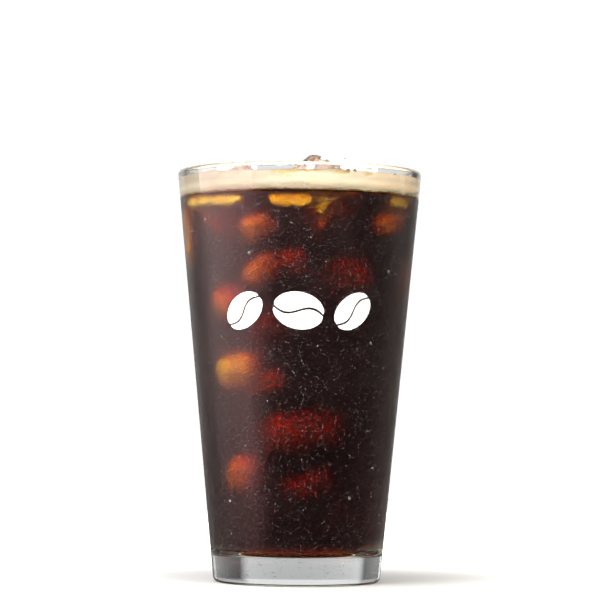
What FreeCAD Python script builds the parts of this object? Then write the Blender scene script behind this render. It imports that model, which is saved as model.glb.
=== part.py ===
"""Iced coffee in a tapered mixing glass: the glass, the coffee, its foam and the ice that breaks the surface.

Millimetres, +Z up. The origin is the centre of the glass's foot, on the surface it stands on.
"""

import FreeCAD
import Part

import os

import Sketcher

DRIVING_SIZES = {
    # The tumbler.
    "glass_height": 149.0,
    "rim_radius": 44.45,
    "foot_radius": 30.15,
    "rim_wall": 3.0,
    "foot_wall": 4.5,
    "floor_thickness": 10.0,
    "rim_edge_round": 1.3,
    "foot_edge_round": 2.0,
    "inner_corner_round": 8.0,
    "punt_radius": 25.0,
    "punt_depth": 1.2,
    # The drink, measured down from the rim.
    "foam_drop": 4.7,
    "foam_depth": 4.8,
    "foam_climb": 1.6,
    "foam_climb_width": 4.0,
    # The ice cubes.
    "ice_edge": 22.0,
    "ice_depth": 20.0,
    "ice_draft_angle": 3.0,
    "ice_edge_round": 4.0,
    "ice_clearance": 1.4,
}

# Each cube that breaks the surface: where it lies round the glass, in degrees; how far its centre is below the
# foam's top, as a share of its edge; and its turn about Z, then its two tilts, in degrees.
SURFACE_ICE = {
    "ice_front": {"bearing": -75.0, "sink": 0.29, "turn": 44.0, "tilt": 26.0, "lean": 35.0},
    "ice_right": {"bearing": 32.0, "sink": 0.20, "turn": 36.0, "tilt": 33.0, "lean": 27.0},
    "ice_back": {"bearing": 120.0, "sink": 0.38, "turn": 52.0, "tilt": 27.0, "lean": 13.0},
    "ice_left": {"bearing": 207.0, "sink": 0.37, "turn": 37.0, "tilt": 10.0, "lean": -42.0},
}

SHEET = "Sizes"
OUTPUT_FOLDER = "parts"

# Heights and radii that follow from the driving sizes, as expressions for constraints and placements.
FOAM_TOP = "(Sizes.glass_height - Sizes.foam_drop)"
FOAM_EDGE = f"({FOAM_TOP} + Sizes.foam_climb)"
COFFEE_TOP = f"({FOAM_TOP} - Sizes.foam_depth)"
CAVITY_SLOPE = (
    "((Sizes.rim_radius - Sizes.rim_wall - (Sizes.foot_radius - Sizes.foot_wall))"
    " / (Sizes.glass_height - Sizes.floor_thickness))"
)
WALL_SLOPE = "((Sizes.rim_radius - Sizes.foot_radius) / Sizes.glass_height)"


def cavity_radius(height):
    """Expression for the radius of the glass's inside at a height."""
    return f"(Sizes.rim_radius - Sizes.rim_wall - (Sizes.glass_height - {height}) * {CAVITY_SLOPE})"


def outer_radius(height):
    """Expression for the radius of the glass's outside at a height."""
    return f"(Sizes.rim_radius - (Sizes.glass_height - {height}) * {WALL_SLOPE})"


def mid_wall_radius(height):
    """Expression for a radius halfway through the glass's wall at a height."""
    return f"(({cavity_radius(height)} + {outer_radius(height)}) / 2)"


def make_sheet(doc):
    """Puts the driving sizes into a spreadsheet, one named cell each."""
    sheet = doc.addObject("Spreadsheet::Sheet", SHEET)
    for row, (alias, value) in enumerate(DRIVING_SIZES.items(), start=1):
        sheet.set(f"A{row}", alias)
        sheet.set(f"B{row}", str(value))
        sheet.setAlias(f"B{row}", alias)
    doc.recompute()
    return sheet


def origin_plane(body, role):
    """The body's own origin plane with that role."""
    return next(plane for plane in body.Origin.OriginFeatures if plane.Role == role)


def make_sketch(body, name, role):
    """A sketch of the body's on one of its origin planes."""
    sketch = body.newObject("Sketcher::SketchObject", name)
    sketch.AttachmentSupport = [(origin_plane(body, role), "")]
    sketch.MapMode = "FlatFace"
    return sketch


def size_point(sketch, geometry, end, x_expression, y_expression):
    """Fixes a point of the sketch from its origin. An expression of None puts the point on that axis."""
    for kind, axis, expression in (("DistanceX", -2, x_expression), ("DistanceY", -1, y_expression)):
        if expression is None:
            sketch.addConstraint(Sketcher.Constraint("PointOnObject", geometry, end, axis))
            continue
        value = sketch.evalExpression(expression)
        index = sketch.addConstraint(
            Sketcher.Constraint(kind, -1, 1, geometry, end, float(getattr(value, "Value", value)))
        )
        sketch.setExpression(f"Constraints[{index}]", expression)


def draw_outline(sketch, corners):
    """Closed outline of straight lines through corners, each a pair of expressions, with None on an axis."""
    points = []
    for pair in corners:
        values = [0.0 if text is None else sketch.evalExpression(text) for text in pair]
        points.append(FreeCAD.Vector(*[float(getattr(v, "Value", v)) for v in values], 0))
    count = len(points)
    lines = [
        sketch.addGeometry(Part.LineSegment(points[i], points[(i + 1) % count]), False)
        for i in range(count)
    ]
    for i, line in enumerate(lines):
        sketch.addConstraint(Sketcher.Constraint("Coincident", line, 2, lines[(i + 1) % count], 1))
        size_point(sketch, line, 1, *corners[i])
    return lines


def revolve(body, sketch, name):
    """The sketch turned all the way round the vertical axis."""
    feature = body.newObject("PartDesign::Revolution", name)
    feature.Profile = sketch
    feature.ReferenceAxis = (sketch, ["V_Axis"])
    feature.Angle = 360
    return feature


def circle_edges(feature, radius, height):
    """Names of the feature's full circles about the Z axis with that radius and height."""
    named = enumerate(feature.Shape.Edges, start=1)
    return [
        f"Edge{number}"
        for number, edge in named
        if isinstance(edge.Curve, Part.Circle)
        and abs(edge.Curve.Radius - radius) < 1e-4
        and abs(edge.Curve.Center.z - height) < 1e-4
    ]


def round_edges(body, base, name, edges, size_alias):
    """A fillet of the named size over edges of the base feature."""
    feature = body.newObject("PartDesign::Fillet", name)
    feature.Base = (base, edges)
    feature.Radius = DRIVING_SIZES[size_alias]
    feature.setExpression("Radius", f"Sizes.{size_alias}")
    body.Document.recompute()
    return feature


def make_glass(doc):
    """The thick-footed tapered tumbler, with a hollow punt under its foot and a rounded rim."""
    body = doc.addObject("PartDesign::Body", "Glass")
    body.Label = "glass"
    profile = make_sketch(body, "GlassProfile", "XZ_Plane")
    draw_outline(
        profile,
        [
            (None, "Sizes.punt_depth"),
            ("Sizes.punt_radius", None),
            ("Sizes.foot_radius", None),
            ("Sizes.rim_radius", "Sizes.glass_height"),
            ("Sizes.rim_radius - Sizes.rim_wall", "Sizes.glass_height"),
            ("Sizes.foot_radius - Sizes.foot_wall", "Sizes.floor_thickness"),
            (None, "Sizes.floor_thickness"),
        ],
    )
    turned = revolve(body, profile, "GlassTurned")
    doc.recompute()
    size = DRIVING_SIZES
    foot = circle_edges(turned, size["foot_radius"], 0)
    foot_rounded = round_edges(body, turned, "FootRounded", foot, "foot_edge_round")
    cavity_foot = size["foot_radius"] - size["foot_wall"]
    corner = circle_edges(foot_rounded, cavity_foot, size["floor_thickness"])
    corner_rounded = round_edges(body, foot_rounded, "CornerRounded", corner, "inner_corner_round")
    rim = circle_edges(corner_rounded, size["rim_radius"], size["glass_height"])
    rim += circle_edges(corner_rounded, size["rim_radius"] - size["rim_wall"], size["glass_height"])
    round_edges(body, corner_rounded, "RimRounded", rim, "rim_edge_round")
    return body


def make_ice(doc, label, lie):
    """One rounded ice cube with drafted sides, set into the surface as its lie says."""
    body = doc.addObject("PartDesign::Body", label.title().replace("_", ""))
    body.Label = label
    section = make_sketch(body, body.Name + "Section", "XY_Plane")
    half = "Sizes.ice_edge / 2"
    draw_outline(
        section,
        [(f"-{half}", f"-{half}"), (half, f"-{half}"), (half, half), (f"-{half}", half)],
    )
    pad = body.newObject("PartDesign::Pad", body.Name + "Block")
    pad.Profile = section
    pad.Midplane = True
    pad.setExpression("Length", "Sizes.ice_depth")
    pad.setExpression("TaperAngle", "Sizes.ice_draft_angle")
    doc.recompute()
    every_edge = [f"Edge{number}" for number in range(1, len(pad.Shape.Edges) + 1)]
    round_edges(body, pad, body.Name + "Rounded", every_edge, "ice_edge_round")
    spin = FreeCAD.Rotation(lie["bearing"] + lie["turn"], lie["tilt"], lie["lean"])
    body.Placement = FreeCAD.Placement(FreeCAD.Vector(), spin)
    reach = (
        "(sqrt(2 * pow(Sizes.ice_edge / 2 - Sizes.ice_edge_round; 2)"
        " + pow(Sizes.ice_depth / 2 - Sizes.ice_edge_round; 2)) + Sizes.ice_edge_round)"
    )
    ring = f"({cavity_radius(COFFEE_TOP)} - {reach} - Sizes.ice_clearance)"
    body.setExpression(".Placement.Base.x", f"{ring} * cos({lie['bearing']})")
    body.setExpression(".Placement.Base.y", f"{ring} * sin({lie['bearing']})")
    body.setExpression(".Placement.Base.z", f"{FOAM_TOP} - {lie['sink']} * Sizes.ice_edge")
    doc.recompute()
    return body


def cut_out(doc, label, blank, tool):
    """What is left of the blank once the tool is taken away."""
    cut = doc.addObject("Part::Cut", label.title().replace("_", ""))
    cut.Base = blank
    cut.Tool = tool
    cut.Label = label
    doc.recompute()
    return cut


def make_coffee(doc, glass, ice):
    """The coffee: a column that runs inside the wall, less the glass and the ice that dips into it."""
    column = doc.addObject("Part::Cone", "CoffeeColumn")
    start = "Sizes.floor_thickness / 2"
    column.setExpression("Radius1", mid_wall_radius(f"({start})"))
    column.setExpression("Radius2", mid_wall_radius(COFFEE_TOP))
    column.setExpression("Height", f"{COFFEE_TOP} - {start}")
    column.setExpression(".Placement.Base.z", start)
    inside = cut_out(doc, "coffee_inside", column, glass)
    return cut_out(doc, "coffee", inside, ice)


def make_foam(doc, glass, ice):
    """The foam: a disc that climbs a little at the wall, less the glass and the ice that stands through it."""
    body = doc.addObject("PartDesign::Body", "FoamDisc")
    profile = make_sketch(body, "FoamProfile", "XZ_Plane")
    inner_edge = cavity_radius(FOAM_EDGE)
    flat_end = f"({inner_edge} - Sizes.foam_climb_width)"
    lines = draw_outline(
        profile,
        [
            (None, COFFEE_TOP),
            (mid_wall_radius(COFFEE_TOP), COFFEE_TOP),
            (mid_wall_radius(FOAM_EDGE), FOAM_EDGE),
            (inner_edge, FOAM_EDGE),
            (flat_end, FOAM_TOP),
            (None, FOAM_TOP),
        ],
    )
    slope_line, flat_line = lines[3], lines[4]
    slope = profile.Geometry[slope_line]
    width = slope.StartPoint.x - slope.EndPoint.x
    climb = slope.StartPoint.y - slope.EndPoint.y
    radius = (width**2 + climb**2) / (2 * climb)
    centre = FreeCAD.Vector(slope.EndPoint.x, slope.EndPoint.y + radius, 0)
    halfway = (slope.StartPoint + slope.EndPoint) / 2
    sagging = centre + (halfway - centre).normalize() * radius
    curve = Part.Arc(slope.EndPoint, sagging, slope.StartPoint)
    arc = profile.addGeometry(curve, False)
    profile.setConstruction(slope_line, True)
    profile.addConstraint(Sketcher.Constraint("Tangent", arc, 1, flat_line, 1))
    profile.addConstraint(Sketcher.Constraint("Coincident", arc, 2, slope_line, 1))
    revolve(body, profile, "FoamTurned")
    doc.recompute()
    inside = cut_out(doc, "foam_inside", body, glass)
    return cut_out(doc, "foam", inside, ice)


def check_document(doc, pieces):
    """Stops if anything failed to compute, or a piece isn't sound solid matter."""
    failed = [thing.Label for thing in doc.Objects if {"Invalid", "Error"} & set(thing.State)]
    if failed:
        raise RuntimeError(f"not computed: {failed}")
    for piece in pieces:
        shape = piece.Shape
        if shape.isNull() or not shape.isValid() or not shape.Solids:
            raise RuntimeError(f"{piece.Label} is not a valid solid")
        print(f"{piece.Label}: {len(shape.Solids)} solid, {shape.Volume / 1000:.1f} cm3")


def main():
    """Builds every piece and writes each to its own STEP file."""
    doc = FreeCAD.newDocument("IcedCoffee")
    make_sheet(doc)
    glass = make_glass(doc)
    cubes = [make_ice(doc, label, lie) for label, lie in SURFACE_ICE.items()]
    all_ice = doc.addObject("Part::MultiFuse", "AllIce")
    all_ice.Shapes = cubes
    doc.recompute()
    pieces = [glass, make_coffee(doc, glass, all_ice), make_foam(doc, glass, all_ice), *cubes]
    check_document(doc, pieces)
    os.makedirs(OUTPUT_FOLDER, exist_ok=True)
    for piece in pieces:
        piece.Shape.exportStep(os.path.join(OUTPUT_FOLDER, piece.Label + ".step"))


main()
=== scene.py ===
"""The looks of an iced coffee: a misted mixing glass, dark coffee, sunk cloudy ice, foam and wet ice on top.

Everything is in metres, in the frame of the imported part: +Z up, the glass's foot centred on the origin
and the viewer on the -Y side. Bearings are degrees about Z, from +X towards +Y, so -90 faces the viewer.
"""

import itertools
import logging
import math
import random
from collections.abc import Iterable, Sequence
from dataclasses import dataclass, field
from enum import Enum, IntEnum
from typing import Any

import bmesh
import bpy
from mathutils import Euler, Matrix, Vector, noise
from mathutils.bvhtree import BVHTree


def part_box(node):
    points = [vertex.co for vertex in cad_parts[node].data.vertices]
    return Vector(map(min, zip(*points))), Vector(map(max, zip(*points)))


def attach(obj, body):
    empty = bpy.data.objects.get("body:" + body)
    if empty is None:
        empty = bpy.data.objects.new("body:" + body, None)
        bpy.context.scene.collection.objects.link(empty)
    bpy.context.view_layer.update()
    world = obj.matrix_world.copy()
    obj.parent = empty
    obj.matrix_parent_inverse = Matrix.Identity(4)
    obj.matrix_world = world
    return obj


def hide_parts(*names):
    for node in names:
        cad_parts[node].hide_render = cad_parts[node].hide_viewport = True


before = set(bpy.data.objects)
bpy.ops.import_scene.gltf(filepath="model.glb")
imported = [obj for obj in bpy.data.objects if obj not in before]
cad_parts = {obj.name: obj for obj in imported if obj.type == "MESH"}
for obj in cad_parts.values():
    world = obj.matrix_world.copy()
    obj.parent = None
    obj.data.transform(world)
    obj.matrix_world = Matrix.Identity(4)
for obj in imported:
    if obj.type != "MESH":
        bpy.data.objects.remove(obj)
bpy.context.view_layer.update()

MM = 0.001
BODY = "root"
VIEWER_BEARING = -90.0
LOG = logging.getLogger("iced_coffee")

Colour = tuple[float, float, float]
Span = tuple[float, float]
Outline = list[tuple[float, float]]
Inputs = dict[str | int, Any]

WHITE: Colour = (1.0, 1.0, 1.0)
BLACK: Colour = (0.0, 0.0, 0.0)


class Slot(Enum):
    """The record's material slots."""

    GLASS = "glass"
    COFFEE = "coffee"
    FOAM = "foam"
    ICE = "ice"


class Socket(Enum):
    """The kinds of socket that a node group has."""

    FLOAT = "NodeSocketFloat"
    INT = "NodeSocketInt"
    BOOL = "NodeSocketBool"
    STRING = "NodeSocketString"
    VECTOR = "NodeSocketVector"
    GEOMETRY = "NodeSocketGeometry"
    MATERIAL = "NodeSocketMaterial"
    OBJECT = "NodeSocketObject"


PLAIN_SOCKETS = {float: Socket.FLOAT, int: Socket.INT, bool: Socket.BOOL, str: Socket.STRING}


class GlassZone(IntEnum):
    """Which finish a face of the glass takes, by material index."""

    CLEAR = 0
    MISTED = 1
    WETTED = 2


# ---------------------------------------------------------------------------------------------------------
# Node trees
# ---------------------------------------------------------------------------------------------------------


class NodeBench:
    """Adds and joins the nodes of one shader or geometry tree."""

    def __init__(self, tree: bpy.types.NodeTree) -> None:
        """Works on a tree that exists already."""
        self.tree = tree

    def add(self, kind: str, inputs: Inputs | None = None, **settings: Any) -> bpy.types.Node:
        """Adds a node.

        Args:
            kind: Blender's name for the node's type.
            inputs: A value, or the socket to link from, for each named or numbered input.
            settings: The node's own properties, set before its inputs.

        Returns:
            The new node.
        """
        node = self.tree.nodes.new(kind)
        for name, value in settings.items():
            setattr(node, name, value)
        for key, value in (inputs or {}).items():
            self.feed(self.pick(node.inputs, key), value)
        return node

    @staticmethod
    def pick(sockets: Any, key: str | int) -> bpy.types.NodeSocket:
        """The socket with that number, or the live one with that name."""
        named = (socket for socket in sockets if socket.name == key and socket.enabled)
        return sockets[key] if isinstance(key, int) else next(named)

    def feed(self, socket: bpy.types.NodeSocket, value: Any) -> None:
        """Links a socket from another, or sets its own value.

        Args:
            socket: The input.
            value: The output to link from, or the input's own value.
        """
        if isinstance(value, bpy.types.NodeSocket):
            self.tree.links.new(value, socket)
        else:
            socket.default_value = value

    def out(self, kind: str, inputs: Inputs | None = None, key: str | int = 0, **settings: Any) -> Any:
        """Adds a node and returns one of its outputs, as add() does."""
        return self.pick(self.add(kind, inputs, **settings).outputs, key)

    def math(self, operation: str, first: Any, second: Any = 0.0, third: Any = 0.0) -> Any:
        """The output of a Math node."""
        return self.out("ShaderNodeMath", {0: first, 1: second, 2: third}, operation=operation)

    def vector_math(self, operation: str, first: Any, second: Any = (0.0, 0.0, 0.0)) -> Any:
        """The output of a Vector Math node that gives a vector."""
        return self.out("ShaderNodeVectorMath", {0: first, 1: second}, operation=operation)

    def noise(self, vector: Any, per_metre: Any, detail: Any = 2.0, key: str = "Fac") -> Any:
        """Smooth noise: a number, or three of them under the key Color."""
        inputs = {"Vector": vector, "Scale": per_metre, "Detail": detail}
        return self.out("ShaderNodeTexNoise", inputs, key=key)

    def scaled(self, vector: Any, factor: Any) -> Any:
        """A vector times a number."""
        return self.out("ShaderNodeVectorMath", {0: vector, "Scale": factor}, operation="SCALE")

    def remap(self, value: Any, low: Any, high: Any, to_low: Any = 0.0, to_high: Any = 1.0) -> Any:
        """The value carried smoothly from one range to another, and held at its ends."""
        inputs = {"Value": value, "From Min": low, "From Max": high, "To Min": to_low, "To Max": to_high}
        return self.out("ShaderNodeMapRange", inputs, interpolation_type="SMOOTHSTEP")

    def mix(self, factor: Any, first: Any, second: Any) -> Any:
        """Two colours mixed."""
        inputs = {0: factor, 6: opaque(first), 7: opaque(second)}
        return self.out("ShaderNodeMix", inputs, key=2, data_type="RGBA")


def opaque(colour: Any) -> Any:
    """A plain colour with its alpha added. Anything else is returned as it is."""
    return (*colour, 1.0) if isinstance(colour, tuple) and len(colour) == 3 else colour


def new_group(name: str, kind: str, inputs: dict[str, Any], outputs: dict[str, Socket]) -> Any:
    """Makes an empty node group with named sockets.

    Args:
        name: The group's name.
        kind: "ShaderNodeTree" or "GeometryNodeTree".
        inputs: Each input's default, or its kind of socket where it has none.
        outputs: Each output's kind of socket.

    Returns:
        The group, a bench on it, its input node's outputs and its output node.
    """
    group = bpy.data.node_groups.new(name, kind)
    for label, default in inputs.items():
        kept = default if isinstance(default, Socket) else PLAIN_SOCKETS[type(default)]
        socket = group.interface.new_socket(label, in_out="INPUT", socket_type=kept.value)
        if default is not kept:
            socket.default_value = default
    for label, made in outputs.items():
        group.interface.new_socket(label, in_out="OUTPUT", socket_type=made.value)
    bench = NodeBench(group)
    return group, bench, bench.add("NodeGroupInput").outputs, bench.add("NodeGroupOutput")


class SharedEffects:
    """The shader node groups that finishes are put together from, each made once."""

    CLOUD_EDGE: Span = (0.3, 0.7)
    EDGE_RIPPLES_PER_METRE = 260.0
    SMALLEST_BEAD = 0.45

    def __init__(self) -> None:
        """Makes the groups."""
        self.mottle = self._make_mottle()
        self.band = self._make_band()
        self.beading = self._make_beading()

    @staticmethod
    def _make_mottle() -> bpy.types.NodeTree:
        """Uneven patches: noise, spread between a low and a high value.

        Returns:
            The group.
        """
        group, bench, given, result = new_group(
            "mottle",
            "ShaderNodeTree",
            {"Vector": Socket.VECTOR, "Patches per metre": 100.0, "Detail": 3.0, "Low": 0.0, "High": 1.0},
            {"Value": Socket.FLOAT},
        )
        cloud = bench.noise(given["Vector"], given["Patches per metre"], given["Detail"])
        value = bench.remap(cloud, *SharedEffects.CLOUD_EDGE, given["Low"], given["High"])
        bench.feed(result.inputs["Value"], value)
        return group

    @staticmethod
    def _make_band() -> bpy.types.NodeTree:
        """A mask that is 1 between two heights and fades out past them, with a wandering edge.

        Returns:
            The group.
        """
        group, bench, given, result = new_group(
            "height_band",
            "ShaderNodeTree",
            {"Vector": Socket.VECTOR, "Bottom": 0.0, "Top": 1.0, "Fade": 0.002, "Wander": 0.001},
            {"Mask": Socket.FLOAT},
        )
        height = bench.out("ShaderNodeSeparateXYZ", {0: given["Vector"]}, key="Z")
        ripple = bench.noise(given["Vector"], SharedEffects.EDGE_RIPPLES_PER_METRE)
        shift = bench.math("MULTIPLY", bench.math("SUBTRACT", ripple, 0.5), given["Wander"])
        place = bench.math("ADD", height, shift)
        below = bench.math("SUBTRACT", given["Bottom"], given["Fade"])
        above = bench.math("ADD", given["Top"], given["Fade"])
        rising = bench.remap(place, below, given["Bottom"])
        falling = bench.remap(place, given["Top"], above, 1.0, 0.0)
        bench.feed(result.inputs["Mask"], bench.math("MULTIPLY", rising, falling))
        return group

    @staticmethod
    def _make_beading() -> bpy.types.NodeTree:
        """Rounded beads packed side by side, as a height from 0 between them to 1 at their tops.

        Returns:
            The group.
        """
        group, bench, given, result = new_group(
            "beading",
            "ShaderNodeTree",
            {"Vector": Socket.VECTOR, "Beads per metre": 1000.0, "Reach": 0.42},
            {"Height": Socket.FLOAT},
        )
        pattern = {"Vector": given["Vector"], "Scale": given["Beads per metre"]}
        cells = bench.add("ShaderNodeTexVoronoi", pattern)
        chance = bench.out("ShaderNodeSeparateColor", {0: cells.outputs["Color"]}, key=0)
        share_of_largest = bench.remap(chance, 0.0, 1.0, SharedEffects.SMALLEST_BEAD, 1.0)
        reach = bench.math("MULTIPLY", given["Reach"], share_of_largest)
        share = bench.math("DIVIDE", cells.outputs["Distance"], reach)
        dome = bench.math("SUBTRACT", 1.0, bench.math("MULTIPLY", share, share))
        bench.feed(result.inputs["Height"], bench.math("SQRT", bench.math("MAXIMUM", dome, 0.0)))
        return group


# ---------------------------------------------------------------------------------------------------------
# Finishes
# ---------------------------------------------------------------------------------------------------------


class FinishBench(NodeBench):
    """The nodes of one new material, round its Principled surface and its piece's own coordinates."""

    def __init__(self, name: str, effects: SharedEffects) -> None:
        """Makes the bare material.

        Args:
            name: The material's name.
            effects: The shared node groups.
        """
        self.material = bpy.data.materials.new(name)
        self.material.use_nodes = True
        super().__init__(self.material.node_tree)
        self.effects = effects
        self.surface = self.tree.nodes["Principled BSDF"]
        self.place = self.out("ShaderNodeTexCoord", key="Object")

    def dress(self, sockets: dict[str, Any]) -> None:
        """Links or sets the surface's own sockets."""
        for name, value in sockets.items():
            self.feed(self.surface.inputs[name], opaque(value))

    def let_through(self, ior: float, reflection: Colour = WHITE, clearness: float = 1.0) -> None:
        """Makes the surface one that light passes."""
        self.dress({"IOR": ior, "Transmission Weight": clearness, "Specular Tint": reflection})

    def axis(self, name: str) -> Any:
        """One of the piece's own coordinates."""
        return self.out("ShaderNodeSeparateXYZ", {0: self.place}, key=name)

    def mottle(self, per_metre: float, low: float = 0.0, high: float = 1.0, detail: float = 3.0) -> Any:
        """Uneven patches between a low and a high value.

        Args:
            per_metre: How many patches to a metre, about.
            low: The value between the patches.
            high: The value in their middles.
            detail: How ragged their edges are.

        Returns:
            The value.
        """
        inputs = {"Vector": self.place, "Patches per metre": per_metre, "Detail": detail}
        inputs |= {"Low": low, "High": high}
        return self.out("ShaderNodeGroup", inputs, node_tree=self.effects.mottle)

    def beading(self, per_metre: float, reach: float = 0.42) -> Any:
        """The height of beads packed side by side."""
        inputs = {"Vector": self.place, "Beads per metre": per_metre, "Reach": reach}
        return self.out("ShaderNodeGroup", inputs, key="Height", node_tree=self.effects.beading)

    def bump(self, height: Any, distance: float, strength: float = 1.0) -> Any:
        """The normal that a height gives."""
        return self.out("ShaderNodeBump", {"Height": height, "Distance": distance, "Strength": strength})


@dataclass(frozen=True)
class Finish:
    """What every finish shares: a name, and how its material is made."""

    name: str

    def build(self, effects: SharedEffects) -> bpy.types.Material:
        """Makes the material.

        Args:
            effects: The shared node groups.

        Returns:
            The material.
        """
        bench = FinishBench(self.name, effects)
        self.paint(bench)
        return bench.material

    def paint(self, bench: FinishBench) -> None:
        """Adds the finish's own nodes."""
        raise NotImplementedError


@dataclass(frozen=True)
class ClearGlassFinish(Finish):
    """Clean pressed glass, with the faint waves of its mould."""

    ior: float = 1.5
    tint: Colour = (0.985, 0.995, 0.992)
    reflection: Colour = WHITE
    smears_per_metre: float = 300.0
    smear_roughness: float = 0.03
    waves_per_metre: float = 70.0
    wave_height: float = 0.03 * MM
    wave_strength: float = 0.5

    def paint(self, bench: FinishBench) -> None:
        """Adds the smears and the mould's waves.

        Args:
            bench: The new material's nodes.
        """
        bench.let_through(self.ior, self.reflection)
        waves = bench.mottle(self.waves_per_metre, detail=1.0)
        bench.dress(
            {
                "Base Color": self.tint,
                "Roughness": bench.mottle(self.smears_per_metre, high=self.smear_roughness),
                "Normal": bench.bump(waves, self.wave_height, self.wave_strength),
            }
        )


@dataclass(frozen=True)
class MistedGlassFinish(Finish):
    """Glass with a breath of condensation between two heights: fine beads on a matt film, whose reflections
    are tinted red as painted light from the coffee.
    """

    bottom: float
    top: float
    ior: float = 1.5
    tint: Colour = (0.99, 0.99, 0.99)
    # Painted light: the reflection tint is red, standing in for red light scattered out of the coffee.
    painted_red_glow: Colour = (1.0, 0.50, 0.52)
    edge_fade: float = 0.9 * MM
    edge_wander: float = 0.6 * MM
    film_roughness: float = 0.40
    film_patches_per_metre: float = 120.0
    film_share: Span = (0.92, 1.1)
    bead_roughness: float = 0.31
    beads_per_metre: float = 1250.0
    bead_height: float = 0.05 * MM
    bead_edge: Span = (0.0, 0.6)
    thinning: Span = (38.0 * MM, 80.0 * MM)
    thinnest: float = 0.80
    clear_roughness: float = 0.07

    def paint(self, bench: FinishBench) -> None:
        """Adds the film and the beads on it.

        Args:
            bench: The new material's nodes.
        """
        # Painted light: reflections take the red tint.
        bench.let_through(self.ior, self.painted_red_glow)
        edges = {"Vector": bench.place, "Bottom": self.bottom, "Top": self.top}
        edges |= {"Fade": self.edge_fade, "Wander": self.edge_wander}
        mist = bench.out("ShaderNodeGroup", edges, node_tree=bench.effects.band)
        beads = bench.beading(self.beads_per_metre)
        fullness = bench.remap(bench.axis("Z"), *self.thinning, self.thinnest, 1.0)
        patches = bench.mottle(self.film_patches_per_metre, *self.film_share)
        film = bench.math("MULTIPLY", bench.math("MULTIPLY", patches, self.film_roughness), fullness)
        wet = bench.remap(beads, *self.bead_edge, film, self.bead_roughness)
        relief = bench.math("MULTIPLY", beads, bench.math("MULTIPLY", mist, fullness))
        bench.dress(
            {
                "Base Color": self.tint,
                "Roughness": bench.math("MAXIMUM", bench.math("MULTIPLY", wet, mist), self.clear_roughness),
                "Normal": bench.bump(relief, self.bead_height),
            }
        )


@dataclass(frozen=True)
class CoffeeFinish(Finish):
    """Strong filtered coffee: clear, but soaking up blue, then green, then red."""

    density: float = 1000.0
    passed: Colour = (0.892, 0.70, 0.0)
    ior: float = 1.33
    swirls_per_metre: float = 90.0
    swirl_roughness: float = 0.04

    def paint(self, bench: FinishBench) -> None:
        """Adds the swirls and the soaking up of light.

        Args:
            bench: The new material's nodes.
        """
        bench.let_through(self.ior, BLACK)
        swirls = bench.mottle(self.swirls_per_metre, high=self.swirl_roughness)
        bench.dress({"Base Color": WHITE, "Roughness": swirls})
        soak = {"Color": opaque(self.passed), "Density": self.density}
        volume = bench.out("ShaderNodeVolumeAbsorption", soak)
        bench.feed(bench.tree.nodes["Material Output"].inputs["Volume"], volume)


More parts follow.
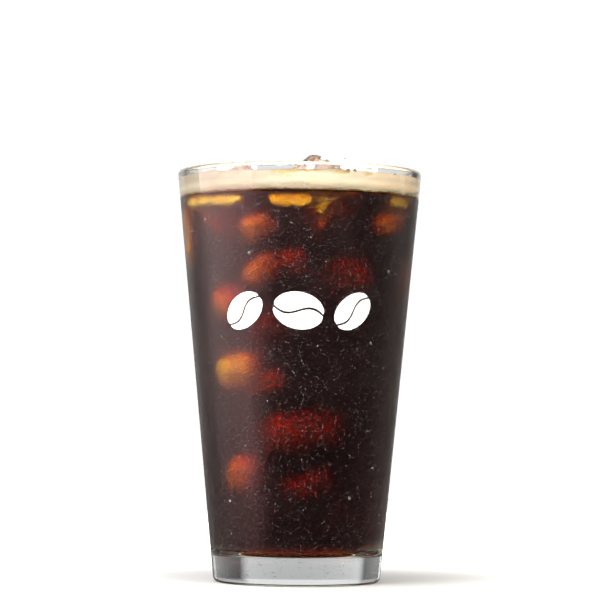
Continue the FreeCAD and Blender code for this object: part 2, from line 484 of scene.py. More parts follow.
@dataclass(frozen=True)
class FoamFinish(Finish):
    """Pale coffee foam: cream to tan in patches, pitted with bubbles, stained where it meets the coffee.
    Painted light and shade: tan and lighter towards +X, lighter at its foot and darker at its top.
    """

    bottom: float
    cream: Colour = (0.69, 0.562, 0.405)
    tan: Colour = (0.64, 0.49, 0.32)
    pit: Colour = (0.42, 0.25, 0.12)
    stain: Colour = (0.78, 0.42, 0.13)
    splash: Colour = (0.27, 0.17, 0.045)
    # Painted shade: the foam is mixed towards tan towards +X.
    painted_shade_across: Span = (-40 * MM, 45 * MM)
    painted_shade_share: Span = (-0.25, 0.55)
    patches_per_metre: float = 60.0
    patch_share: Span = (-0.2, 0.5)
    # Painted light and shade: lighter at the foam's foot, darker towards its top, and lighter towards +X.
    painted_light_rise: Span = (0.2 * MM, 5.0 * MM)
    painted_height_light: Span = (1.34, 0.33)
    painted_light_across: Span = (-25 * MM, 42 * MM)
    painted_side_light: Span = (1.0, 1.95)
    pits_per_metre: float = 1100.0
    pit_reach: float = 0.36
    pit_depth: float = 0.15 * MM
    pit_strength: float = 0.6
    pit_roughness: Span = (0.55, 0.3)
    pit_edge: Span = (0.25, 0.8)
    pit_cover: float = 0.55
    clusters_per_metre: float = 85.0
    cluster_share: Span = (-0.5, 1.0)
    ripples_per_metre: float = 320.0
    ripple: float = 0.35 * MM
    stain_depth: float = 0.55 * MM
    stain_cover: float = 0.9
    splashes: tuple[tuple[Vector, Vector], ...] = (
        (Vector((-4.0, -41.0, 146.0)), Vector((7.0, 7.0, 1.6))),
        (Vector((3.0, -41.0, 146.3)), Vector((7.0, 6.0, 0.8))),
        (Vector((14.0, -38.5, 145.6)), Vector((5.0, 6.0, 0.8))),
        (Vector((24.0, -33.5, 145.6)), Vector((2.5, 5.0, 0.7))),
    )
    splash_rags_per_metre: float = 420.0
    splash_rags: Span = (0.6, 1.5)
    splash_edge: Span = (0.35, 1.1)
    splash_cover: float = 0.85

    def paint(self, bench: FinishBench) -> None:
        """Adds the shades with their painted light and shade, the pits, the stain and the splashes.

        Args:
            bench: The new material's nodes.
        """
        across, height = bench.axis("X"), bench.axis("Z")
        patches = bench.mottle(self.patches_per_metre, *self.patch_share, detail=4.0)
        # Painted shade: tan towards +X, added to the random patches.
        tan_patches_and_side_shade = bench.math("ADD", bench.remap(across, *self.painted_shade_across, *self.painted_shade_share), patches)
        shade = bench.mix(bench.remap(tan_patches_and_side_shade, 0.0, 1.0), self.cream, self.tan)
        # Painted light and shade: lighter at the foot, darker at the top, and lighter towards +X.
        low, high = (self.bottom + rise for rise in self.painted_light_rise)
        height_light = bench.remap(height, low, high, *self.painted_height_light)
        turned = bench.remap(across, *self.painted_light_across, *self.painted_side_light)
        body = bench.scaled(shade, bench.math("MULTIPLY", height_light, turned))
        pits = bench.beading(self.pits_per_metre, self.pit_reach)
        clusters = bench.mottle(self.clusters_per_metre, *self.cluster_share, detail=2.0)
        showing = bench.remap(bench.math("MULTIPLY", pits, clusters), *self.pit_edge, 0.0, self.pit_cover)
        level = bench.math("ADD", height, bench.mottle(self.ripples_per_metre, -self.ripple, self.ripple))
        darkened = bench.remap(level, self.bottom, self.bottom + self.stain_depth, self.stain_cover, 0.0)
        lined = bench.mix(darkened, bench.mix(showing, body, self.pit), self.stain)
        bench.dress(
            {
                "Base Color": bench.mix(self._splashed(bench), lined, self.splash),
                "Roughness": bench.remap(pits, 0.0, 1.0, *self.pit_roughness),
                "Normal": bench.bump(pits, self.pit_depth, self.pit_strength),
            }
        )

    def _splashed(self, bench: FinishBench) -> Any:
        """Masks the ragged spots where melting ice has wetted the foam's edge with coffee.

        Args:
            bench: The nodes to add to.

        Returns:
            The mask, from 0 on clean foam to the splashes' cover.
        """
        ragged = bench.mottle(self.splash_rags_per_metre, *self.splash_rags)
        mask: Any = 0.0
        for middle, reach in self.splashes:
            offset = bench.vector_math("SUBTRACT", bench.place, tuple(middle * MM))
            share = bench.vector_math("DIVIDE", offset, tuple(reach * MM))
            length = bench.out("ShaderNodeVectorMath", {0: share}, key="Value", operation="LENGTH")
            away = bench.math("MULTIPLY", length, ragged)
            spot = bench.remap(away, *self.splash_edge, self.splash_cover, 0.0)
            mask = bench.math("MAXIMUM", mask, spot)
        return mask


@dataclass(frozen=True)
class BubbleFinish(Finish):
    """Thin-skinned bubbles that stand on the foam."""

    skin: Colour = (0.86, 0.70, 0.48)
    darkest: float = 0.72
    patches_per_metre: float = 240.0
    roughness: Span = (0.25, 0.45)
    wetness: float = 0.6
    wet_roughness: float = 0.05

    def paint(self, bench: FinishBench) -> None:
        """Adds the uneven skin under its wet coat.

        Args:
            bench: The new material's nodes.
        """
        shade = bench.mottle(self.patches_per_metre)
        darker = tuple(channel * self.darkest for channel in self.skin)
        bench.dress(
            {
                "Coat Weight": self.wetness,
                "Coat Roughness": self.wet_roughness,
                "Base Color": bench.mix(shade, self.skin, darker),
                "Roughness": bench.remap(shade, 0.0, 1.0, *self.roughness),
            }
        )


@dataclass(frozen=True)
class IceFinish(Finish):
    """Clear wet ice with rippled, half-melted faces, and a painted dark brown tint where it stands out of the
    drink, standing in for the coffee that it shows by refraction.
    """

    tint: Colour = (0.99, 0.99, 0.99)
    # Painted dark tint above the drink, standing in for the coffee seen through the ice by refraction.
    darkened: Colour = (0.99, 0.99, 0.99)
    dark_top_rise: Span = (143 * MM, 149 * MM)
    ior: float = 1.31
    reflection: Colour = WHITE
    frost_per_metre: float = 180.0
    roughest: float = 0.08
    ripples_per_metre: float = 350.0
    ripple_height: float = 0.12 * MM
    ripple_strength: float = 0.6

    def paint(self, bench: FinishBench) -> None:
        """Adds the painted dark tint, the frost and the ripples.

        Args:
            bench: The new material's nodes.
        """
        bench.let_through(self.ior, self.reflection)
        # Painted dark tint: the ice is tinted dark brown above the drink.
        standing = bench.remap(bench.axis("Z"), *self.dark_top_rise)
        ripples = bench.mottle(self.ripples_per_metre)
        bench.dress(
            {
                "Base Color": bench.mix(standing, self.tint, self.darkened),
                "Roughness": bench.mottle(self.frost_per_metre, high=self.roughest),
                "Normal": bench.bump(ripples, self.ripple_height, self.ripple_strength),
            }
        )


@dataclass(frozen=True)
class CloudFinish(Finish):
    """The white heart of an ice cube: trapped air and cracks, which throw back more light than ice does."""

    dense: Colour = (0.97, 0.97, 0.97)
    thin: Colour = (0.80, 0.80, 0.81)
    ior: float = 2.1
    wisps_per_metre: float = 220.0
    roughness: Span = (0.38, 0.5)

    def paint(self, bench: FinishBench) -> None:
        """Adds the wisps.

        Args:
            bench: The new material's nodes.
        """
        density = bench.mottle(self.wisps_per_metre, detail=4.0)
        shade = bench.mix(density, self.thin, self.dense)
        rough = bench.remap(density, 0.0, 1.0, *self.roughness)
        bench.dress({"IOR": self.ior, "Base Color": shade, "Roughness": rough})


@dataclass(frozen=True)
class WaterFinish(Finish):
    """Drops of water, a little milky with the fine mist in them."""

    ior: float = 1.33
    clearness: float = 0.925
    haze_per_metre: float = 500.0
    roughest: float = 0.12

    def paint(self, bench: FinishBench) -> None:
        """Adds the milky haze."""
        bench.let_through(self.ior, clearness=self.clearness)
        bench.dress({"Base Color": WHITE, "Roughness": bench.mottle(self.haze_per_metre, high=self.roughest)})


@dataclass(frozen=True)
class EnamelFinish(Finish):
    """White enamel fired onto the glass."""

    white: Colour = (0.93, 0.93, 0.92)
    thin: Colour = (0.84, 0.84, 0.83)
    patches_per_metre: float = 500.0
    roughness: Span = (0.5, 0.35)

    def paint(self, bench: FinishBench) -> None:
        """Adds the uneven cover.

        Args:
            bench: The new material's nodes.
        """
        cover = bench.mottle(self.patches_per_metre)
        shade = bench.mix(cover, self.thin, self.white)
        rough = bench.remap(cover, 0.0, 1.0, *self.roughness)
        bench.dress({"Base Color": shade, "Roughness": rough})


@dataclass(frozen=True)
class FloorFinish(Finish):
    """A plain white sweep with painted shade: darker close to the object, which deepens its contact shadow,
    and paler away from it. It is painted dark where glass shows it through itself or mirrors it, so it hardly
    shows in reflections.
    """

    # Painted shade: the floor is darker near the object and paler away from it, and darker still through
    # glass and in reflections.
    near: Colour = (0.26, 0.26, 0.26)
    far: Colour = (0.60, 0.60, 0.60)
    reach: Span = (0.033, 0.16)
    through_glass: Colour = (0.16, 0.16, 0.165)
    mirrored: Colour = (0.03, 0.03, 0.03)
    grain_per_metre: float = 40.0
    grain_shade: float = 0.99
    roughness: float = 0.8
    gloss: float = 0.1

    def paint(self, bench: FinishBench) -> None:
        """Adds the sweep's painted shade and how it shows in glass.

        Args:
            bench: The new material's nodes.
        """
        path = bench.add("ShaderNodeLightPath").outputs
        away = bench.out("ShaderNodeVectorMath", {0: bench.place}, key="Value", operation="LENGTH")
        # Painted shade: darker near the object, paler away from it.
        sweep = bench.mix(bench.remap(away, *self.reach), self.near, self.far)
        plain = bench.mix(bench.mottle(self.grain_per_metre), sweep, bench.scaled(sweep, self.grain_shade))
        # Painted shade: darker where seen through glass or in reflections.
        seen = bench.mix(path["Is Transmission Ray"], plain, self.through_glass)
        shade = bench.mix(path["Is Glossy Ray"], seen, self.mirrored)
        bench.dress({"Base Color": shade, "Roughness": self.roughness, "Specular IOR Level": self.gloss})


# ---------------------------------------------------------------------------------------------------------
# Meshes
# ---------------------------------------------------------------------------------------------------------


@dataclass(frozen=True)
class Corner:
    """A corner of a turned outline, in radius and height, with the radius that rounds it."""

    radius: float
    height: float
    rounding: float = 0.0


@dataclass(frozen=True)
class OutlineDrawer:
    """Turns corners into a fine outline, with arcs at the corners and short facets beside them."""

    arc_steps: int = 8
    longest_facet: float = 8 * MM
    edge_facet: float = 0.25 * MM

    def draw(self, corners: Sequence[Corner]) -> Outline:
        """Draws the outline.

        Args:
            corners: The corners in order. The first and last are never rounded.

        Returns:
            The outline's points, as radius and height.
        """
        stretches = [self._corner_points(corners, i) for i in range(len(corners))]
        points: list[Vector] = list(stretches[0])
        for stretch in stretches[1:]:
            points += self._straight(points[-1], stretch[0])
            points += stretch
        return [(max(p.x, 0.0), p.y) for p in points]

    def _corner_points(self, corners: Sequence[Corner], i: int) -> list[Vector]:
        """The points that stand for one corner: itself, or its arc.

        Args:
            corners: The outline's corners, in order.
            i: The corner's number.

        Returns:
            Its points, in order.
        """
        here = Vector((corners[i].radius, corners[i].height))
        if corners[i].rounding == 0.0:
            return [here]
        before = (Vector((corners[i - 1].radius, corners[i - 1].height)) - here).normalized()
        after = (Vector((corners[i + 1].radius, corners[i + 1].height)) - here).normalized()
        half_angle = before.angle(after) / 2
        reach = corners[i].rounding / math.tan(half_angle)
        centre = here + (before + after).normalized() * (corners[i].rounding / math.sin(half_angle))
        start, end = here + before * reach - centre, here + after * reach - centre
        turn = start.angle_signed(end)
        return [
            centre + Matrix.Rotation(-turn * step / self.arc_steps, 2) @ start
            for step in range(self.arc_steps + 1)
        ]

    def _straight(self, start: Vector, end: Vector) -> list[Vector]:
        """The points between two stretches, close to each end and evenly spread between.

        Args:
            start: Where the stretch before ends.
            end: Where the next one starts.

        Returns:
            The points between, or none where there is no room.
        """
        length = (end - start).length
        if length < 4 * self.edge_facet:
            return []
        inner = length - 2 * self.edge_facet
        count = max(1, math.ceil(inner / self.longest_facet))
        places = [self.edge_facet + inner * step / count for step in range(count + 1)]
        return [start.lerp(end, place / length) for place in places]


def mesh_from(
    name: str, points: Iterable[Sequence[float]], edges: Any = (), faces: Any = ()
) -> bpy.types.Mesh:
    """A mesh from its points, edges and faces.

    Args:
        name: The mesh's name.
        points: Its points.
        edges: Its loose edges.
        faces: Its faces.

    Returns:
        The mesh.
    """
    mesh = bpy.data.meshes.new(name)
    mesh.from_pydata([tuple(p) for p in points], list(edges), list(faces))
    mesh.update()
    return mesh


def place_mesh(name: str, mesh: bpy.types.Mesh) -> bpy.types.Object:
    """A new object in the scene that shows the mesh.

    Args:
        name: The object's name.
        mesh: The mesh.

    Returns:
        The object.
    """
    piece = bpy.data.objects.new(name, mesh)
    bpy.context.scene.collection.objects.link(piece)
    return piece


def settle(piece: bpy.types.Object) -> bpy.types.Object:
    """Replaces a piece's mesh with what its modifiers make of it, and removes them.

    Args:
        piece: The piece.

    Returns:
        The same piece.
    """
    graph = bpy.context.evaluated_depsgraph_get()
    made = bpy.data.meshes.new_from_object(piece.evaluated_get(graph))
    piece.modifiers.clear()
    piece.data = made
    made.name = piece.name
    return piece


def grow(
    name: str, source: bpy.types.Mesh, tree: bpy.types.NodeTree, values: dict[str, Any]
) -> bpy.types.Object:
    """Runs a geometry tree on a mesh.

    Args:
        name: The new piece's name.
        source: The mesh that the tree starts from.
        tree: The geometry tree.
        values: A value for each named input that doesn't keep its default.

    Returns:
        A new piece that holds the tree's result as a plain mesh.
    """
    piece = place_mesh(name, source)
    modifier = piece.modifiers.new(tree.name, "NODES")
    modifier.node_group = tree
    for item in tree.interface.items_tree:
        if item.item_type == "SOCKET" and item.in_out == "INPUT" and item.name in values:
            modifier[item.identifier] = values[item.name]
    settle(piece)
    piece.data.materials.clear()
    piece.data.materials.append(values["Material"])
    return piece


def discard(piece: bpy.types.Object) -> None:
    """Takes a helper out of the scene."""
    bpy.data.objects.remove(piece)


def join_shells(target: bpy.types.Object, extra: bpy.types.Object) -> None:
    """Adds another piece's faces to a piece's mesh.

    Args:
        target: The piece that grows.
        extra: The piece whose faces are added.
    """
    work = bmesh.new()
    work.from_mesh(target.data)
    work.from_mesh(extra.data)
    work.to_mesh(target.data)
    work.free()


def smooth(mesh: bpy.types.Mesh) -> None:
    """Shades every face smooth."""
    mesh.polygons.foreach_set("use_smooth", [True] * len(mesh.polygons))


def carve(piece: bpy.types.Object, cutter: bpy.types.Object) -> None:
    """Cuts a closed shape out of a piece.

    Args:
        piece: The piece.
        cutter: The closed shape.
    """
    modifier = piece.modifiers.new("carve", "BOOLEAN")
    modifier.operation = "DIFFERENCE"
    modifier.solver = "EXACT"
    modifier.object = cutter
    settle(piece)


class ShapeTrees:
    """Geometry trees for what is turned, scattered or repeated."""

    SEAM = 0.002 * MM
    CLUMP_EDGE: Span = (0.35, 0.65)
    SMALL_BIAS = 2.2
    STRETCH: Span = (0.82, 1.25)
    STRETCH_SEED_STEP = 7.0
    UNEVEN_PER_METRE = 900.0
    MIDDLE_GREY = (0.5, 0.5, 0.5)

    def __init__(self) -> None:
        """Makes the trees."""
        self.turned = self._make_turned()
        self.beads = self._make_beads()
        self.blocks = self._make_blocks()

    @staticmethod
    def _end(bench: NodeBench, shape: Any, material: Any, result: bpy.types.Node) -> None:
        """Ends a tree: its shape is shaded smooth, made real and dressed.

        Args:
            bench: The nodes to add to.
            shape: The finished shape.
            material: What it is dressed with.
            result: The tree's output node.
        """
        shaded = bench.out("GeometryNodeSetShadeSmooth", {"Geometry": shape})
        real = bench.out("GeometryNodeRealizeInstances", {"Geometry": shaded})
        dressed = bench.out("GeometryNodeSetMaterial", {"Geometry": real, "Material": material})
        bench.feed(result.inputs["Geometry"], dressed)

    @staticmethod
    def _make_turned() -> bpy.types.NodeTree:
        """Turns an outline, drawn in X and Z from axis to axis, into a closed round shape.

        Returns:
            The tree.
        """
        group, bench, given, result = new_group(
            "turned_shape",
            "GeometryNodeTree",
            {"Outline": Socket.GEOMETRY, "Segments": 192, "Material": Socket.MATERIAL},
            {"Geometry": Socket.GEOMETRY},
        )
        count = bench.out("GeometryNodeAttributeDomainSize", {0: given["Outline"]}, key="Point Count")
        columns = bench.math("ADD", given["Segments"], 1.0)
        size = {"Size X": 1.0, "Size Y": 1.0, "Vertices X": columns, "Vertices Y": count}
        grid = bench.out("GeometryNodeMeshGrid", size, key="Mesh")
        position = bench.out("GeometryNodeInputPosition")
        split = bench.add("ShaderNodeSeparateXYZ", {0: position})
        angle = bench.math("MULTIPLY", bench.math("ADD", split.outputs["X"], 0.5), math.tau)
        last = bench.math("SUBTRACT", count, 1.0)
        row = bench.math("ROUND", bench.math("MULTIPLY", bench.math("ADD", split.outputs["Y"], 0.5), last))
        sample = {"Geometry": given["Outline"], "Value": position, "Index": row}
        point = bench.out("GeometryNodeSampleIndex", sample, data_type="FLOAT_VECTOR")
        drawn = bench.add("ShaderNodeSeparateXYZ", {0: point})
        across = bench.math("MULTIPLY", drawn.outputs["X"], bench.math("COSINE", angle))
        along = bench.math("MULTIPLY", drawn.outputs["X"], bench.math("SINE", angle))
        place = bench.out("ShaderNodeCombineXYZ", {"X": across, "Y": along, "Z": drawn.outputs["Z"]})
        wrapped = bench.out("GeometryNodeSetPosition", {"Geometry": grid, "Position": place})
        closed = bench.out("GeometryNodeMergeByDistance", {"Geometry": wrapped, "Distance": ShapeTrees.SEAM})
        ShapeTrees._end(bench, closed, given["Material"], result)
        return group

    @staticmethod
    def _make_beads() -> bpy.types.NodeTree:
        """Scatters flat-bottomed beads over a surface, clear of another shape.

        Returns:
            The tree.
        """
        group, bench, given, result = new_group(
            "scattered_beads",
            "GeometryNodeTree",
            {
                "Surface": Socket.GEOMETRY,
                "Density": 1000.0,
                "Clumping": 0.5,
                "Patches per metre": 60.0,
                "Smallest": 0.2 * MM,
                "Largest": 0.5 * MM,
                "Flatness": 0.6,
                "Sunk": 0.15,
                "Unevenness": 0.0,
                "Fineness": 1,
                "Seed": 0,
                "Keep clear of": Socket.OBJECT,
                "Gap": 0.5 * MM,
                "Material": Socket.MATERIAL,
            },
            {"Geometry": Socket.GEOMETRY},
        )
        position = bench.out("GeometryNodeInputPosition")
        patches = bench.noise(position, given["Patches per metre"])
        sparse = bench.math("SUBTRACT", 1.0, given["Clumping"])
        share = bench.remap(patches, *ShapeTrees.CLUMP_EDGE, sparse, 1.0)
        density = bench.math("MULTIPLY", share, given["Density"])
        spread = {"Mesh": given["Surface"], "Density": density, "Seed": given["Seed"]}
        points = bench.add("GeometryNodeDistributePointsOnFaces", spread, distribute_method="RANDOM")
        barrier = bench.out("GeometryNodeObjectInfo", {"Object": given["Keep clear of"]}, key="Geometry")
        near = bench.add("GeometryNodeProximity", {0: barrier}, target_element="FACES")
        too_near = bench.math("LESS_THAN", near.outputs["Distance"], given["Gap"])
        blocked = bench.math("MULTIPLY", too_near, near.outputs["Is Valid"])
        cleared = {"Geometry": points.outputs["Points"], "Selection": blocked}
        kept = bench.out("GeometryNodeDeleteGeometry", cleared)
        unit_ball = {"Radius": 1.0, "Subdivisions": given["Fineness"]}
        ball = bench.out("GeometryNodeMeshIcoSphere", unit_ball, key="Mesh")
        ball_place = bench.add("ShaderNodeSeparateXYZ", {0: position})
        floor = bench.math("MULTIPLY", given["Sunk"], -1.0)
        flattened = bench.math("MULTIPLY", ball_place.outputs["Z"], given["Flatness"])
        lifted = bench.math("MAXIMUM", flattened, floor)
        dome_place = {"X": ball_place.outputs["X"], "Y": ball_place.outputs["Y"], "Z": lifted}
        dome_inputs = {"Geometry": ball, "Position": bench.out("ShaderNodeCombineXYZ", dome_place)}
        dome = bench.out("GeometryNodeSetPosition", dome_inputs)
        any_share = {"Min": 0.0, "Max": 1.0, "Seed": given["Seed"]}
        chance = bench.out("FunctionNodeRandomValue", any_share, key="Value")
        bias = bench.math("POWER", chance, ShapeTrees.SMALL_BIAS)
        growth = bench.math("SUBTRACT", given["Largest"], given["Smallest"])
        radius = bench.math("MULTIPLY_ADD", bias, growth, given["Smallest"])
        stretch_seed = bench.math("ADD", given["Seed"], ShapeTrees.STRETCH_SEED_STEP)
        stretch = {"Min": ShapeTrees.STRETCH[0], "Max": ShapeTrees.STRETCH[1], "Seed": stretch_seed}
        longer = bench.out("FunctionNodeRandomValue", stretch, key="Value")
        wide = bench.math("MULTIPLY", radius, longer)
        scale = bench.out("ShaderNodeCombineXYZ", {"X": radius, "Y": wide, "Z": radius})
        copies = bench.out(
            "GeometryNodeInstanceOnPoints",
            {"Points": kept, "Instance": dome, "Rotation": points.outputs["Rotation"], "Scale": scale},
        )
        solid = bench.out("GeometryNodeRealizeInstances", {"Geometry": copies})
        wobble = bench.noise(position, ShapeTrees.UNEVEN_PER_METRE, key="Color")
        centred = bench.vector_math("SUBTRACT", wobble, ShapeTrees.MIDDLE_GREY)
        push = bench.scaled(centred, given["Unevenness"])
        uneven = bench.out("GeometryNodeSetPosition", {"Geometry": solid, "Offset": push})
        ShapeTrees._end(bench, uneven, given["Material"], result)
        return group

    @staticmethod
    def _make_blocks() -> bpy.types.NodeTree:
        """Puts a rounded, half-melted block at each point, turned and sized by the point's own attributes.

        Returns:
            The tree.
        """
        group, bench, given, result = new_group(
            "melted_blocks",
            "GeometryNodeTree",
            {
                "Points": Socket.GEOMETRY,
                "Size attribute": "size",
                "Rounding": 0.2,
                "Cuts": 9,
                "Melt": 0.8 * MM,
                "Melt scale": 110.0,
                "Inset": 0.0,
                "Inside out": False,
                "Material": Socket.MATERIAL,
            },
            {"Geometry": Socket.GEOMETRY},
        )
        cuts = {"Size": (1.0, 1.0, 1.0), "Vertices X": given["Cuts"], "Vertices Y": given["Cuts"]}
        cube = bench.out("GeometryNodeMeshCube", {**cuts, "Vertices Z": given["Cuts"]}, key="Mesh")
        position = bench.out("GeometryNodeInputPosition")
        inner = bench.math("SUBTRACT", 0.5, given["Rounding"])
        limit = bench.out("ShaderNodeCombineXYZ", {"X": inner, "Y": inner, "Z": inner})
        low = bench.scaled(limit, -1.0)
        core = bench.vector_math("MAXIMUM", bench.vector_math("MINIMUM", position, limit), low)
        away = bench.vector_math("NORMALIZE", bench.vector_math("SUBTRACT", position, core))
        rounded = bench.vector_math("ADD", core, bench.scaled(away, given["Rounding"]))
        block = bench.out("GeometryNodeSetPosition", {"Geometry": cube, "Position": rounded})
        lie = bench.out("GeometryNodeInputNamedAttribute", {"Name": "lie"}, data_type="FLOAT_VECTOR")
        named = {"Name": given["Size attribute"]}
        size = bench.out("GeometryNodeInputNamedAttribute", named, data_type="FLOAT_VECTOR")
        spin = bench.out("FunctionNodeEulerToRotation", {0: lie})
        place = {"Points": given["Points"], "Instance": block, "Rotation": spin, "Scale": size}
        copies = bench.out("GeometryNodeInstanceOnPoints", place)
        solid = bench.out("GeometryNodeRealizeInstances", {"Geometry": copies})
        swell = bench.noise(position, given["Melt scale"], key="Color")
        centred = bench.vector_math("SUBTRACT", swell, ShapeTrees.MIDDLE_GREY)
        melted_inputs = {"Geometry": solid, "Offset": bench.scaled(centred, given["Melt"])}
        melted = bench.out("GeometryNodeSetPosition", melted_inputs)
        outset = bench.math("MULTIPLY", given["Inset"], -1.0)
        inward = bench.scaled(bench.out("GeometryNodeInputNormal"), outset)
        inset = bench.out("GeometryNodeSetPosition", {"Geometry": melted, "Offset": inward})
        turned = bench.out("GeometryNodeFlipFaces", {"Mesh": inset, "Selection": given["Inside out"]})
        ShapeTrees._end(bench, turned, given["Material"], result)
        return group


@dataclass
class Workshop:
    """What every sub-assembly is made with."""

    effects: SharedEffects = field(default_factory=SharedEffects)
    trees: ShapeTrees = field(default_factory=ShapeTrees)

    def turn(
        self, name: str, corners: Sequence[Corner], material: bpy.types.Material, segments: int = 192
    ) -> bpy.types.Object:
        """A closed turned piece from its outline's corners, drawn finely."""
        return self.spin(name, OutlineDrawer().draw(corners), material, segments)

    def spin(
        self, name: str, outline: Outline, material: bpy.types.Material, segments: int
    ) -> bpy.types.Object:
        """A closed turned piece from the points of its outline.

        Args:
            name: The new thing's name.
            outline: The outline's points, from axis to axis.
            material: What it is made of.
            segments: How many flat sides go round it.

        Returns:
            The piece.
        """
        edges = [(i, i + 1) for i in range(len(outline) - 1)]
        source = mesh_from(name, [(radius, 0.0, height) for radius, height in outline], edges)
        return grow(name, source, self.trees.turned, {"Segments": segments, "Material": material})


def fit_out(piece: bpy.types.Object, nodes: Sequence[str] = ()) -> bpy.types.Object:
    """Puts a finished piece on the part's body.

    Args:
        piece: The finished piece.
        nodes: The part's nodes that it stands for.

    Returns:
        The piece.
    """
    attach(piece, BODY)
    if nodes:
        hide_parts(*nodes)
    LOG.info("%s: %d faces", piece.name, len(piece.data.polygons))
    return piece


# ---------------------------------------------------------------------------------------------------------
# The glass
# ---------------------------------------------------------------------------------------------------------


@dataclass
class MixingGlass:
    """The thick-footed tapered tumbler."""

    rim_radius: float = 44.45 * MM
    foot_radius: float = 30.15 * MM
    rim_wall: float = 3.0 * MM
    foot_wall: float = 4.5 * MM
    rim_rounding: float = 1.35 * MM
    foot_rounding: float = 2.0 * MM
    corner_rounding: float = 8.0 * MM
    punt_radius: float = 25.0 * MM
    punt_depth: float = 1.2 * MM
    mist_bottom: float = 12.5 * MM
    mist_below_foam: float = 1.2 * MM
    foam_cling: float = 0.5 * MM
    segments: int = 256
    overhang: float = 0.3
    level: float = 0.5
    height: float = field(init=False)
    floor: float = field(init=False)
    drink_top: float = field(init=False)
    foam_top: float = field(init=False)

    def __post_init__(self) -> None:
        """Reads the heights off the frame."""
        self.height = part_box("glass")[1].z
        self.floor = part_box("coffee")[0].z
        self.drink_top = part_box("coffee")[1].z
        self.foam_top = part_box("foam")[1].z + self.foam_cling

    def outer_radius(self, height: float) -> float:
        """The outside's radius at a height."""
        return self.foot_radius + (self.rim_radius - self.foot_radius) * height / self.height

    def inner_radius(self, height: float) -> float:
        """The inside's radius at a height."""
        low, high = self.foot_radius - self.foot_wall, self.rim_radius - self.rim_wall
        return low + (high - low) * (height - self.floor) / (self.height - self.floor)

    def build(self, shop: Workshop) -> bpy.types.Object:
        """Makes the glass and dresses its faces by where they are.

        Args:
            shop: The shared effects and shape trees.

        Returns:
            The glass.
        """
        clear = ClearGlassFinish("clear_glass").build(shop.effects)
        misted = MistedGlassFinish("misted_glass", self.mist_bottom, self.drink_top - self.mist_below_foam)
        wetted = ClearGlassFinish("wetted_glass", reflection=BLACK)
        corners = [
            Corner(0.0, self.punt_depth),
            Corner(self.punt_radius, 0.0, 2.0 * MM),
            Corner(self.foot_radius, 0.0, self.foot_rounding),
            Corner(self.rim_radius, self.height, self.rim_rounding),
            Corner(self.rim_radius - self.rim_wall, self.height, self.rim_rounding),
            Corner(self.foot_radius - self.foot_wall, self.floor, self.corner_rounding),
            Corner(0.0, self.floor),
        ]
        glass = shop.turn("mixing_glass", corners, clear, self.segments)
        glass.data.materials.append(misted.build(shop.effects))
        glass.data.materials.append(wetted.build(shop.effects))
        for face in glass.data.polygons:
            face.material_index = self._zone(face)
        return fit_out(glass, ["glass"])

    def _zone(self, face: bpy.types.MeshPolygon) -> GlassZone:
        """The zone that a face is in: the misted outside, the inside under the drink, or the clear rest.

        Args:
            face: The face.

        Returns:
            Its zone.
        """
        outward = face.normal.x * face.center.x + face.normal.y * face.center.y
        on_wall = self.foot_rounding < face.center.z < self.height - self.rim_rounding
        if outward > 0 and face.normal.z < self.overhang and on_wall:
            return GlassZone.MISTED
        if face.center.z < self.foam_top and (outward < 0 or face.normal.z > self.level):
            return GlassZone.WETTED
        return GlassZone.CLEAR


